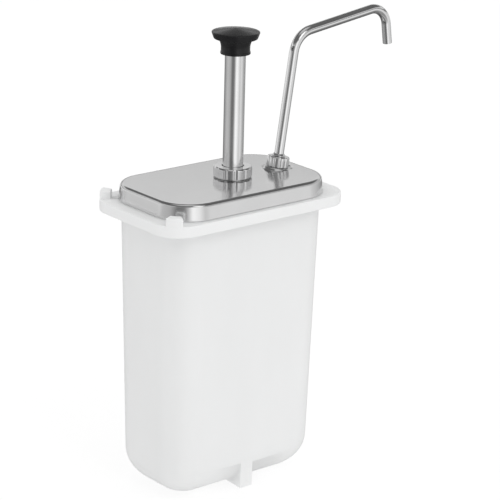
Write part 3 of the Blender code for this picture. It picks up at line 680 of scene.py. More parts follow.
@dataclass
class Jar:
    """Deep milky jar with a turned-down flange, two corner tabs and two foot ribs."""

    length: float = 0.181
    width: float = 0.1004
    draft: float = 0.0055
    wall: float = 0.0025
    floor: float = 0.003
    corner: float = 0.0276
    edge: float = 0.036
    flange_corner: float = 0.028
    plate: float = 0.0025
    lip: float = 0.0112
    tab_height: float = 0.0080
    tab_wall: float = 0.0105
    tab_half_angle: float = math.radians(18.0)
    tab_edge: float = 0.0014
    foot_width: float = 0.015
    foot_edge: float = 0.0009
    foot_rise: float = 0.0002
    inset: float = 0.0003
    floor_reach: float = 0.006
    floor_corner: float = 0.28
    rim_run: float = 0.02
    rim_edge: float = 0.0022
    corner_steps: int = 18
    edge_steps: int = 18

    def wall_section(self, inset: float, height: float) -> Point:
        """Length, width, corner radius and height of the walls, set in by an inset."""
        spread = 2 * self.draft * height / PLACES.lid_top
        return (self.length + spread - 2 * inset, self.width + spread - 2 * inset,
                self.corner - inset, height)

    def bowl(self, wall: float, floor: float) -> list[Point]:
        """Sections of the rounded bottom from the floor up, set in by a wall thickness."""
        edge = self.edge - wall
        sections = []
        for step in range(self.edge_steps + 1):
            angle = math.pi / 2 * step / self.edge_steps
            height = floor + edge * (1 - math.cos(angle))
            length, width, corner, _ = self.wall_section(wall, height)
            inset = edge * (1 - math.sin(angle))
            blend = corner * (self.floor_corner + (1 - self.floor_corner) * math.sin(angle))
            sections.append((length - 2 * inset, width - 2 * inset, blend, height))
        length, width, corner, height = sections[0]
        middle = (length - 2 * self.floor_reach, width - 2 * self.floor_reach,
                  corner - self.floor_reach / 3, height)
        return [middle, *sections]

    def rim(self) -> list[Point]:
        """Sections of the flange, from the outer wall's top to the inner wall's top."""
        low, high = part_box("jar")
        length, width = high.x - low.x, high.y - low.y
        under = PLACES.seat - self.plate

        def flange(inset: float, height: float) -> Point:
            """Section of the flange, inset from its edge."""
            return (length - 2 * inset, width - 2 * inset, self.flange_corner - inset, height)

        path = [self.wall_section(0.0, under - self.rim_run), self.wall_section(0.0, under),
                flange(self.plate, under), flange(self.plate, PLACES.seat - self.lip),
                flange(0.0, PLACES.seat - self.lip), flange(0.0, PLACES.seat),
                self.wall_section(self.wall, PLACES.seat),
                self.wall_section(self.wall, PLACES.seat - self.rim_run)]
        return rounded(path, self.rim_edge, 4, closed=False)

    def shell(self) -> bpy.types.Object:
        """Skin the jar's sections."""
        sections = [*self.bowl(0.0, 0.0), *self.rim(),
                    *reversed(self.bowl(self.wall, self.floor))]
        shape = bmesh.new()
        rings = [[shape.verts.new(point)
                  for point in rectangle_ring(*section, self.corner_steps)]
                 for section in sections]
        for lower, upper in zip(rings, rings[1:]):
            bridge(shape, lower, upper)
        shape.faces.new(rings[0])
        shape.faces.new(rings[-1])
        return finish_mesh("jar_shell", shape)

    def prism(self, name: str, outline: list[Point], half: float, place: Matrix,
              soften: float) -> bpy.types.Object:
        """Extrude an outline both ways and soften its edges."""
        shape = bmesh.new()
        rings = [[shape.verts.new((x, y, height)) for x, y in outline]
                 for height in (-half, half)]
        bridge(shape, *rings)
        shape.faces.new(rings[0])
        shape.faces.new(rings[1])
        bmesh.ops.recalc_face_normals(shape, faces=shape.faces)
        edges = [e for e in shape.edges if e.calc_face_angle(0.0) > SHARP]
        bmesh.ops.bevel(shape, geom=edges, offset=soften, segments=3, profile=0.5,
                        affect="EDGES", clamp_overlap=True)
        return finish_mesh(name, shape, place)

    def tab(self, side: int) -> bpy.types.Object:
        """Upright tab on the flange's left corner, on one side."""
        low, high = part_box("jar")
        centre = Vector((low.x + self.flange_corner, side * (high.y - self.flange_corner)))
        middle = math.radians(180.0 - side * 45.0)
        outer = self.flange_corner - self.inset
        steps = 10
        outline = []
        for radius, order in ((outer, range(steps + 1)),
                              (outer - self.tab_wall, range(steps, -1, -1))):
            for step in order:
                angle = middle + self.tab_half_angle * (2 * step / steps - 1)
                outline.append((centre.x + radius * math.cos(angle),
                                centre.y + radius * math.sin(angle)))
        base = PLACES.seat - self.plate / 2
        half = (PLACES.seat + self.tab_height - base) / 2
        return self.prism("tab", outline, half, Matrix.Translation((0.0, 0.0, base + half)),
                          self.tab_edge)

    def foot(self, side: int) -> bpy.types.Object:
        """Rib that fills the rounded bottom edge at the middle of a long side."""
        half_width = self.width / 2
        reach = self.edge - self.wall / 2
        outline = [(half_width - self.inset, self.foot_rise),
                   (half_width - self.inset, self.edge)]
        steps = 14
        for step in range(steps, -1, -1):
            angle = math.pi / 2 * step / steps
            outline.append((half_width - self.edge + reach * math.sin(angle),
                            self.edge + self.foot_rise - reach * math.cos(angle)))
        turn = Matrix(((0.0, 0.0, 1.0, 0.0), (side, 0.0, 0.0, 0.0),
                       (0.0, 1.0, 0.0, 0.0), (0.0, 0.0, 0.0, 1.0)))
        return self.prism("foot", outline, self.foot_width / 2, turn, self.foot_edge)

    def build(self) -> None:
        """Build the jar and dress it."""
        extras = [make(side) for side in (-1, 1) for make in (self.tab, self.foot)]
        dress(joined(self.shell(), extras), Finish.MILKY, "jar")


# ---- Lid ---------------------------------------------------------------------------------------


@dataclass
class Lid:
    """Pressed steel lid with a flared skirt, the pump's hole and the leaning seat."""

    length: float = 0.1935
    width: float = 0.120
    corner: float = 0.0352
    roll: float = 0.0034
    flare: float = 0.0014
    play: float = 0.0008
    rim: float = 0.0015
    sheet: float = SHEET
    seat_radius: float = 0.0160
    seat_face: float = 0.0128
    seat_lip: float = 0.001
    hole_margin: float = 0.0012
    seat_rise: float = SEAT_RISE
    sleeve_radius: float = SLEEVE_RADIUS
    neck_radius: float = NECK_RADIUS
    corner_steps: int = 20
    round_steps: int = 64

    def skirt_sections(self) -> list[Point]:
        """Sections from the skirt's edge up over the roll and on to the flat top."""
        top = PLACES.lid_top
        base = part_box("lid")[0].z

        def section(reach: float, height: float) -> Point:
            """Section of the lid, reaching past its measured outline."""
            return (self.length + 2 * reach, self.width + 2 * reach, self.corner + reach,
                    height)

        sections = [section(self.play + self.flare * (1 - share),
                            base + (top - self.roll - base) * share)
                    for share in (0.0, 0.02, 0.5, 1.0)]
        steps = 7
        for step in range(1, steps + 1):
            angle = math.pi / 2 * step / steps
            sections.append(section(self.play - self.roll * (1 - math.cos(angle)),
                                    top - self.roll * (1 - math.sin(angle))))
        return [*sections, section(self.play - self.roll - self.rim, top)]

    def seat_ring(self, radius: float, share: float, rise: float) -> list[Vector]:
        """Ring of the leaning seat: a share of the lean, raised along the tube's axis."""
        lean = math.atan2(PLACES.spout_axis.x, PLACES.spout_axis.z)
        turn = Matrix.Rotation(lean * share, 4, "Y")
        return [PLACES.spout_origin
                + turn @ Vector((radius * math.cos(math.tau * i / self.round_steps),
                                 radius * math.sin(math.tau * i / self.round_steps), rise))
                for i in range(self.round_steps)]

    def surface(self) -> bpy.types.Object:
        """Skin the lid's outer face, with its two holes."""
        shape = bmesh.new()
        rings = [[shape.verts.new(p) for p in rectangle_ring(*section, self.corner_steps)]
                 for section in self.skirt_sections()]
        for lower, upper in zip(rings, rings[1:]):
            bridge(shape, lower, upper)
        rows = [(self.seat_radius + self.hole_margin, 0.0, 0.0)]
        steps = 8
        for step in range(steps + 1):
            t = step / steps
            eased = t * t * (3 - 2 * t)
            rows.append((self.seat_radius + (self.seat_face - self.seat_radius) * t, eased,
                         self.seat_rise * eased))
        rows += [(self.seat_face - self.seat_lip, 1.0, self.seat_rise),
                 (self.sleeve_radius + GAP, 1.0, self.seat_rise)]
        seat = [[shape.verts.new(p) for p in self.seat_ring(*row)] for row in rows]
        for outer, inner in zip(seat, seat[1:]):
            bridge(shape, outer, inner)
        hole = self.neck_radius + 2 * GAP
        turns = [math.tau * i / self.round_steps for i in range(self.round_steps)]
        pump = [[shape.verts.new((PLACES.pump_x + radius * math.cos(turn),
                                  radius * math.sin(turn), PLACES.lid_top))
                 for turn in turns] for radius in (hole + self.hole_margin, hole)]
        bridge(shape, *pump)
        loops = [rings[-1], seat[0], pump[0]]
        edges = [shape.edges.get((loop[i], loop[(i + 1) % len(loop)]))
                 for loop in loops for i in range(len(loop))]
        bmesh.ops.triangle_fill(shape, edges=edges, use_beauty=True, use_dissolve=False)
        bmesh.ops.recalc_face_normals(shape, faces=shape.faces)
        top = max(shape.faces, key=lambda face: face.calc_center_median().z)
        if top.normal.z < 0:
            bmesh.ops.reverse_faces(shape, faces=shape.faces)
        return finish_mesh("lid_shell", shape, recalculate=False)

    def build(self) -> None:
        """Build the lid, give it its sheet thickness and dress it."""
        lid = self.surface()
        solid = lid.modifiers.new("sheet", "SOLIDIFY")
        solid.thickness = self.sheet
        solid.offset = -1.0
        solid.use_even_offset = True
        dress(applied(lid), Finish.BRUSHED, "lid")


# ---- Nuts --------------------------------------------------------------------------------------


@dataclass
class FlutedCollar:
    """Round nut whose grip flutes are pressed in by Geometry Nodes."""

    node: str
    radius: float
    height: float
    bore: float
    throat: float
    lip: float
    chamfer: float
    flute_radius: float
    flute_depth: float
    flutes: int = 12
    steps: int = 288
    edge: float = 0.0004

    def blank(self) -> bpy.types.Object:
        """Turn the nut before its flutes."""
        corners = [(self.throat, self.height), (self.radius - self.chamfer, self.height),
                   (self.radius, self.height - self.chamfer), (self.radius, 0.0),
                   (self.bore, 0.0), (self.bore, self.height - self.lip),
                   (self.throat, self.height - self.lip)]
        profile = rounded(corners, self.edge, 3)
        return turned(f"{self.node}_shell", profile, Matrix.Identity(4), self.steps)

    def build(self, place: Matrix) -> bpy.types.Object:
        """Press the flutes in and put the nut in place.

        Args:
            place: where the nut stands.

        Returns:
            The dressed nut.
        """
        tree = GeometryTree(f"{self.node}_shell_flutes")
        count = tree.size("Flutes", self.flutes)
        flute = tree.size("Flute radius", self.flute_radius)
        reach = tree.size("Flute centre", self.radius + self.flute_radius - self.flute_depth)
        split = tree.node("ShaderNodeSeparateXYZ",
                          {0: tree.node("GeometryNodeInputPosition").outputs["Position"]})
        x, y, z = split.outputs
        pitch = tree.math("DIVIDE", math.tau, count)
        half = tree.math("MULTIPLY", pitch, 0.5)
        angle = tree.math("WRAP", tree.math("ARCTAN2", y, x), half,
                          tree.math("MULTIPLY", half, -1.0))
        across = tree.math("MULTIPLY", reach, tree.math("SINE", angle))
        room = tree.math("SUBTRACT", tree.math("MULTIPLY", flute, flute),
                         tree.math("MULTIPLY", across, across))
        depth = tree.math("SQRT", tree.math("MAXIMUM", room, 0.0))
        edge = tree.math("SUBTRACT", tree.math("MULTIPLY", reach, tree.math("COSINE", angle)),
                         depth)
        out = tree.math("SQRT", tree.math("ADD", tree.math("MULTIPLY", x, x),
                                          tree.math("MULTIPLY", y, y)))
        share = tree.math("DIVIDE", tree.math("MINIMUM", out, edge), out)
        moved = tree.node("ShaderNodeCombineXYZ", {0: tree.math("MULTIPLY", x, share),
                                                   1: tree.math("MULTIPLY", y, share), 2: z})
        pressed = tree.node("GeometryNodeSetPosition", {"Geometry": tree.geometry(),
                                                        "Position": moved.outputs["Vector"]})
        nut = tree.make(self.blank(), pressed.outputs["Geometry"],
                        MATERIALS[Finish.POLISHED])
        nut.data.transform(place)
        return dress(nut, Finish.POLISHED, self.node)


# ---- Plunger -----------------------------------------------------------------------------------


@dataclass
class Plunger:
    """Knob, polished tube, rod, portion collars and piston, which all slide together."""

    tube_radius: float = TUBE_RADIUS
    tube_wall: float = 0.0012
    stop_radius: float = 0.0119
    stop_height: float = 0.004
    tail: float = 0.002
    knob_neck_top: float = 0.0163
    knob_neck: float = 0.0143
    knob_rim: float = 0.0070
    knob_rim_radius: float = 0.0214
    knob_dome: float = 0.0038
    knob_crown: float = 0.972
    knob_crown_power: float = 0.6
    knob_edge: float = 0.0007
    knob_slope: float = 0.0006
    knob_rim_lip: float = 0.0002
    knob_rim_lift: float = 0.0004
    knob_neck_lip: float = 0.0008
    knob_undercut: float = 0.0012
    knob_waist: float = 0.0080
    knob_foot: float = 0.0005
    knob_foot_edge: float = 0.0005
    knob_foot_height: float = 0.0022
    knob_foot_top: float = 0.0030
    knob_socket: float = 0.006
    rod_radius: float = 0.004
    rod_end: float = 0.003
    rod_sides: int = 48
    collar_edge: float = 0.0004
    collar_sides: int = 72
    piston_groove: float = 0.0012
    seal_lip: float = 0.0014
    seal_wall: float = 0.001
    seal_web: float = 0.45

    def knob(self) -> None:
        """Mushroom knob: low cone with a blunt tip, tapered rim and waisted neck."""
        radius, top, base = span("knob")
        rim_top = top - self.knob_dome
        rim_base = rim_top - self.knob_rim
        profile = [(0.0, top)]
        dome_steps = 14
        for step in range(1, dome_steps + 1):
            share = step / dome_steps
            profile.append((radius * self.knob_crown * share,
                            top - self.knob_dome * (share ** 2 + BLUNT_TIP ** 2)
                            ** self.knob_crown_power))
        rim = [(radius * self.knob_crown, rim_top), (radius, rim_top - self.knob_slope),
               (self.knob_rim_radius + self.knob_rim_lip, rim_base + self.knob_rim_lift),
               (self.knob_neck_top + self.knob_neck_lip, rim_base - self.knob_slope)]
        profile += rounded(rim, self.knob_edge, 4, closed=False)[1:]
        waist_steps = 12
        for step in range(waist_steps + 1):
            share = step / waist_steps
            profile.append((self.knob_neck + (self.knob_neck_top - self.knob_neck)
                            * (1 - share) ** 2,
                            rim_base - self.knob_undercut - self.knob_waist * share))
        socket = self.tube_radius + GAP
        foot_radius = self.knob_neck + self.knob_foot
        foot = [(self.knob_neck, base + self.knob_foot_top),
                (foot_radius, base + self.knob_foot_height),
                (foot_radius, base), (socket, base),
                (socket, base + self.knob_socket), (0.0, base + self.knob_socket)]
        profile += rounded(foot, self.knob_foot_edge, 3, closed=False)
        turn_piece("knob", profile, Finish.PHENOLIC, steps=FINE, closed=False)

    def tube(self) -> None:
        """Polished tube with its stop ring."""
        _, top, base = span("plunger_tube")
        inner = self.tube_radius - self.tube_wall
        stop_base = base + self.tail
        stop_top = stop_base + self.stop_height
        profile = rounded([(self.tube_radius, top), (self.tube_radius, stop_top),
                           (self.stop_radius, stop_top), (self.stop_radius, stop_base),
                           (self.tube_radius, stop_base), (self.tube_radius, base),
                           (inner, base), (inner, top)], EDGE)
        turn_piece("plunger_tube", profile, Finish.POLISHED, steps=FINE)

    def portion_collars(self) -> None:
        """Stack of portion collars, repeated by Geometry Nodes."""
        names = sorted(n for n in FRAME["nodes"] if n.startswith("portion_collar"))
        radius, top, base = span(names[-1])
        pitch = span(names[0])[1] - span(names[1])[1]
        ring = turned("portion_collars",
                      ring_profile(radius, self.tube_radius + GAP, top, base,
                                   self.collar_edge), PLACES.at_pump(), self.collar_sides)
        tree = GeometryTree("collar_stack")
        count = tree.size("Collars", len(names))
        step = tree.size("Pitch", pitch)
        offset = tree.node("ShaderNodeCombineXYZ", {2: step})
        line = tree.node("GeometryNodeMeshLine", {"Count": count,
                                                  "Offset": offset.outputs["Vector"]})
        stack = tree.node("GeometryNodeInstanceOnPoints",
                          {"Points": line.outputs["Mesh"], "Instance": tree.geometry()})
        tree.make(ring, stack.outputs["Instances"], MATERIALS[Finish.ACETAL])
        dress(ring, Finish.ACETAL, *names)

    def rod(self) -> None:
        """Piston rod with its stepped end."""
        _, top, base = span("piston_rod")
        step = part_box("piston_washer_upper")[1].z + GAP
        corners = [(0.0, top), (self.rod_radius, top), (self.rod_radius, step),
                   (self.rod_end, step), (self.rod_end, base), (0.0, base)]
        turn_piece("piston_rod", rounded(corners, EDGE, closed=False), Finish.POLISHED,
                   steps=self.rod_sides, closed=False)

    def piston(self) -> None:
        """Piston head, cup seal, its two washers and the nut."""
        hole = self.rod_end + GAP
        radius, top, base = span("piston_head")
        middle = (top + base) / 2
        groove = radius - self.piston_groove
        head = rounded([(radius, top), (radius, middle + self.piston_groove),
                        (groove, middle + self.piston_groove),
                        (groove, middle - self.piston_groove),
                        (radius, middle - self.piston_groove), (radius, base), (hole, base),
                        (hole, top)], EDGE)
        turn_piece("piston_head", head, Finish.ACETAL)
        washer = span("piston_washer_lower")[0]
        seal, top, base = span("piston_seal")
        hub = washer - self.seal_lip
        web = base + (top - base) * self.seal_web
        cup = rounded([(seal - self.seal_wall, top), (seal, base), (seal - self.seal_lip, base),
                       (hub, web), (hub, base), (hole, base), (hole, top)], EDGE)
        turn_piece("piston_seal", cup, Finish.RUBBER)
        for node in ("piston_washer_upper", "piston_washer_lower"):
            disc, top, base = span(node)
            turn_piece(node, ring_profile(disc, hole, top, base), Finish.POLISHED)
        dress(smoothed_copy("piston_nut"), Finish.POLISHED, "piston_nut")

    def build(self) -> None:
        """Build every piece of the plunger."""
        self.knob()
        self.tube()
        self.portion_collars()
        self.rod()
        self.piston()


@dataclass
class ReturnSpring:
    """Compression spring with one closed turn at each end, wound by Geometry Nodes."""

    wire: float = 0.0008
    turns: int = 9
    stroke: float = 0.058
    steps_per_turn: int = 32
    wire_sides: int = 12

    def build(self) -> None:
        """Wind the spring, put it on the pump's axis and dress it."""
        outer, top, base = span("return_spring")
        coil = outer - self.wire
        closed_rise = 2 * self.wire + GAP
        rise = top - base - 2 * self.wire
        tree = GeometryTree("coil")
        turns = tree.size("Open turns", self.turns)
        coil_radius = tree.size("Coil radius", coil)
        wire_radius = tree.size("Wire radius", self.wire)
        total = tree.math("ADD", turns, 2.0)
        end_rise = tree.size("End turn rise", closed_rise)
        open_rise = tree.size("Open rise", rise - 2 * closed_rise)
        spiral = tree.node("GeometryNodeCurveSpiral",
                           {"Resolution": self.steps_per_turn, "Rotations": total,
                            "Start Radius": coil_radius, "End Radius": coil_radius,
                            "Height": 0.0})
        along = tree.node("GeometryNodeSplineParameter").outputs["Factor"]
        turned_by = tree.math("MULTIPLY", along, total)

        def part(first: object, last: object, height: object) -> bpy.types.NodeSocket:
            """Height gained between two turns."""
            return tree.span(turned_by, (first, last), (0.0, height))

        last_open = tree.math("ADD", turns, 1.0)
        height = tree.math("ADD", part(0.0, 1.0, end_rise),
                           tree.math("ADD", part(1.0, last_open, open_rise),
                                     part(last_open, total, end_rise)))
        lifted = tree.node("ShaderNodeCombineXYZ", {2: height})
        wound = tree.node("GeometryNodeSetPosition", {"Geometry": spiral.outputs["Curve"],
                                                      "Offset": lifted.outputs["Vector"]})
        section = tree.node("GeometryNodeCurvePrimitiveCircle",
                            {"Resolution": self.wire_sides, "Radius": wire_radius})
        swept = tree.node("GeometryNodeCurveToMesh", {"Curve": wound.outputs["Geometry"],
                                                      "Profile Curve": section.outputs["Curve"],
                                                      "Fill Caps": True})
        spring = tree.make(line_object("return_spring_wire", [Vector()]),
                           swept.outputs["Mesh"], MATERIALS[Finish.POLISHED])
        spring.data.transform(PLACES.at_pump(base + self.wire))
        dress(spring, Finish.POLISHED, "return_spring")
        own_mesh(spring)


# ---- Pump body ---------------------------------------------------------------------------------


@dataclass
class PumpBody:
    """Cylinder, its lock collar and washer, the bushing, the seals and the valve body."""

    bore: float = 0.0127
    neck: float = NECK_RADIUS
    wall: float = 0.0013
    shoulder_height: float = 0.0035
    bushing_flange: float = 0.0010
    tube_radius: float = TUBE_RADIUS
    o_ring: float = 0.0009
    ball_steps: int = 32

    def lock_collar(self) -> None:
        """Fluted collar and the washer under it."""
        radius, top, base = span("lock_collar")
        FlutedCollar("lock_collar", radius, top - base, bore=self.neck + GAP,
                     throat=self.tube_radius + 2 * GAP, lip=0.0020, chamfer=0.0013,
                     flute_radius=0.0030, flute_depth=0.0008).build(PLACES.at_pump(base))
        radius, top, base = span("collar_washer")
        turn_piece("collar_washer", ring_profile(radius, self.neck + GAP, top, base),
                   Finish.POLISHED, steps=FINE)

    def cylinder(self) -> None:
        """Steel cylinder with its shoulder, the gasket on it and the bushing in its neck."""
        shoulder, top, base = span("cylinder")
        outer = self.bore + self.wall
        gasket_radius, gasket_top, gasket_base = span("cylinder_gasket")
        shoulder_top = gasket_base - GAP
        profile = rounded([(self.neck, top), (self.neck, shoulder_top),
                           (shoulder, shoulder_top),
                           (shoulder, shoulder_top - self.shoulder_height),
                           (outer, shoulder_top - self.shoulder_height), (outer, base),
                           (self.bore, base), (self.bore, top)], EDGE)
        turn_piece("cylinder", profile, Finish.POLISHED, steps=FINE)
        turn_piece("cylinder_gasket",
                   ring_profile(gasket_radius, self.neck + GAP, gasket_top, gasket_base),
                   Finish.RUBBER)
        flange, top, base = span("guide_bushing")
        seat = top - self.bushing_flange
        inner = self.tube_radius + GAP
        sleeve = rounded([(flange, top), (flange, seat), (self.bore - GAP, seat),
                          (self.bore - GAP, base), (inner, base), (inner, top)], FINE_EDGE)
        turn_piece("guide_bushing", sleeve, Finish.ACETAL)

    def valves(self) -> None:
        """Valve body, its pin, O-ring and the two check balls."""
        dress(smoothed_copy("valve_body"), Finish.ACETAL, "valve_body")
        dress(smoothed_copy("inlet_ball_pin"), Finish.POLISHED, "inlet_ball_pin")
        radius, top, base = span("cylinder_o_ring")
        turn_piece("cylinder_o_ring",
                   torus_profile(radius - self.o_ring, self.o_ring, (top + base) / 2),
                   Finish.RUBBER)
        for node in ("inlet_ball", "outlet_ball"):
            low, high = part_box(node)
            radius = (high.z - low.z) / 2
            turns = [math.pi * i / self.ball_steps for i in range(1, self.ball_steps)]
            arc = [(radius * math.sin(turn), radius * math.cos(turn)) for turn in turns]
            turn_piece(node, [(0.0, radius), *arc, (0.0, -radius)], Finish.POLISHED,
                       Matrix.Translation((low + high) / 2), 2 * self.ball_steps,
                       closed=False)

    def build(self) -> None:
        """Build every piece of the pump's body."""
        self.lock_collar()
        self.cylinder()
        self.valves()


# ---- Discharge tube ----------------------------------------------------------------------------


@dataclass
class DischargeTube:
    """Bent tube swept by Geometry Nodes, with the fluted nut, sleeve and seals on it."""

    radius: float = 0.0047625
    wall: float = 0.0009
    arm_rise: float = math.radians(8.05)
    corner_height: float = 0.1338
    arm_length: float = 0.1187
    tip_length: float = 0.0410
    bend_radius: float = 0.024
    tip_radius: float = 0.020
    sides: int = 48
    bend_steps: int = 28
    ball_radius: float = 0.004
    ball_lift: float = 0.003
    nut_radius: float = 0.01125
    nut_height: float = 0.0105
    sleeve_radius: float = SLEEVE_RADIUS
    sleeve_shoulder: float = 0.0100
    nut_lip: float = 0.0018
    seat_rise: float = SEAT_RISE
    sheet: float = SHEET
    sleeve_rim: float = 0.002
    sleeve_tail: float = 0.006
    gasket: float = 0.001
    ferrule_height: float = 0.0022
    ferrule_lip: float = 0.0004
    ferrule_edge: float = 0.0006

    def route(self) -> list[Vector]:
        """The tube's corners from its foot in the valve body to its open tip."""
        low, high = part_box("outlet_ball")
        axis = PLACES.spout_axis
        arm = Vector((math.cos(self.arm_rise), 0.0, math.sin(self.arm_rise)))
        down = Vector((math.sin(self.arm_rise), 0.0, -math.cos(self.arm_rise)))
        start = (low + high) / 2 + axis * (self.ball_radius + self.ball_lift + GAP)
        first = PLACES.spout_origin + axis * (self.corner_height / axis.z)
        second = first + arm * self.arm_length
        return [start, first, second, second + down * self.tip_length]

    def tube(self) -> None:
        """Fillet the corners, sweep the tube and give it its wall."""
        tree = GeometryTree("bent_tube")
        radius = tree.size("Tube radius", self.radius)
        bend = tree.size("Bend radius", self.bend_radius)
        tip = tree.size("Tip bend radius", self.tip_radius)
        steps = tree.size("Bend steps", self.bend_steps)
        line = tree.node("GeometryNodeMeshToCurve", {"Mesh": tree.geometry()})
        index = tree.node("GeometryNodeInputIndex").outputs["Index"]
        at_tip = tree.node("FunctionNodeCompare", {2: index, 3: 2}, data_type="INT",
                           operation="EQUAL")
        chosen = tree.node("GeometryNodeSwitch", {"Switch": at_tip.outputs["Result"],
                                                  "False": bend, "True": tip},
                           input_type="FLOAT")
        filleted = tree.node("GeometryNodeFilletCurve", {"Curve": line.outputs["Curve"],
                                                         "Radius": chosen.outputs["Output"],
                                                         "Count": steps}, mode="POLY")
        section = tree.node("GeometryNodeCurvePrimitiveCircle",
                            {"Resolution": self.sides, "Radius": radius})
        swept = tree.node("GeometryNodeCurveToMesh", {"Curve": filleted.outputs["Curve"],
                                                      "Profile Curve": section.outputs["Curve"]})
        tube = tree.make(line_object("discharge_tube_shell", self.route()),
                         swept.outputs["Mesh"], MATERIALS[Finish.POLISHED])
        solid = tube.modifiers.new("wall", "SOLIDIFY")
        solid.thickness = self.wall
        solid.offset = -1.0
        dress(applied(tube), Finish.POLISHED, "discharge_tube")

    def fittings(self) -> None:
        """Nut, sleeve, ferrule, gasket and O-ring round the tube."""
        hole = self.radius + GAP
        under = self.seat_rise - self.sheet - GAP
        shoulder = under - self.gasket - GAP
        nut_base = self.seat_rise + GAP
        nut_top = nut_base + self.nut_height
        sleeve_top = nut_top - self.nut_lip - GAP
        scale = self.nut_radius / span("lock_collar")[0]
        FlutedCollar("discharge_nut", self.nut_radius, self.nut_height,
                     bore=self.sleeve_radius + GAP, throat=hole, lip=self.nut_lip,
                     chamfer=0.0009, flute_radius=0.0030 * scale,
                     flute_depth=0.0010 * scale).build(PLACES.at_spout(nut_base))
        leaning = PLACES.at_spout()
        turn_piece("discharge_gasket",
                   ring_profile(self.sleeve_shoulder, self.sleeve_radius + GAP, under,
                                under - self.gasket), Finish.RUBBER, leaning)
        sleeve = rounded([(self.sleeve_radius, sleeve_top), (self.sleeve_radius, shoulder),
                          (self.sleeve_shoulder, shoulder),
                          (self.sleeve_shoulder, shoulder - self.sleeve_rim),
                          (self.sleeve_radius, shoulder - self.sleeve_rim),
                          (self.sleeve_radius, shoulder - self.sleeve_tail),
                          (hole, shoulder - self.sleeve_tail), (hole, sleeve_top)], FINE_EDGE)
        turn_piece("discharge_sleeve", sleeve, Finish.POLISHED, leaning)
        base = nut_top + GAP
        wide = self.sleeve_radius + self.ferrule_lip
        ferrule = rounded([(hole + self.ferrule_lip, base + self.ferrule_height),
                           (wide, base + self.ferrule_edge), (wide, base), (hole, base),
                           (hole, base + self.ferrule_height)], FINE_EDGE)
        turn_piece("discharge_ferrule", ferrule, Finish.POLISHED, leaning)
        dress(smoothed_copy("discharge_o_ring"), Finish.RUBBER, "discharge_o_ring")

    def build(self) -> None:
        """Build the tube and its fittings."""
        self.tube()
        self.fittings()


# ---- Studio ------------------------------------------------------------------------------------


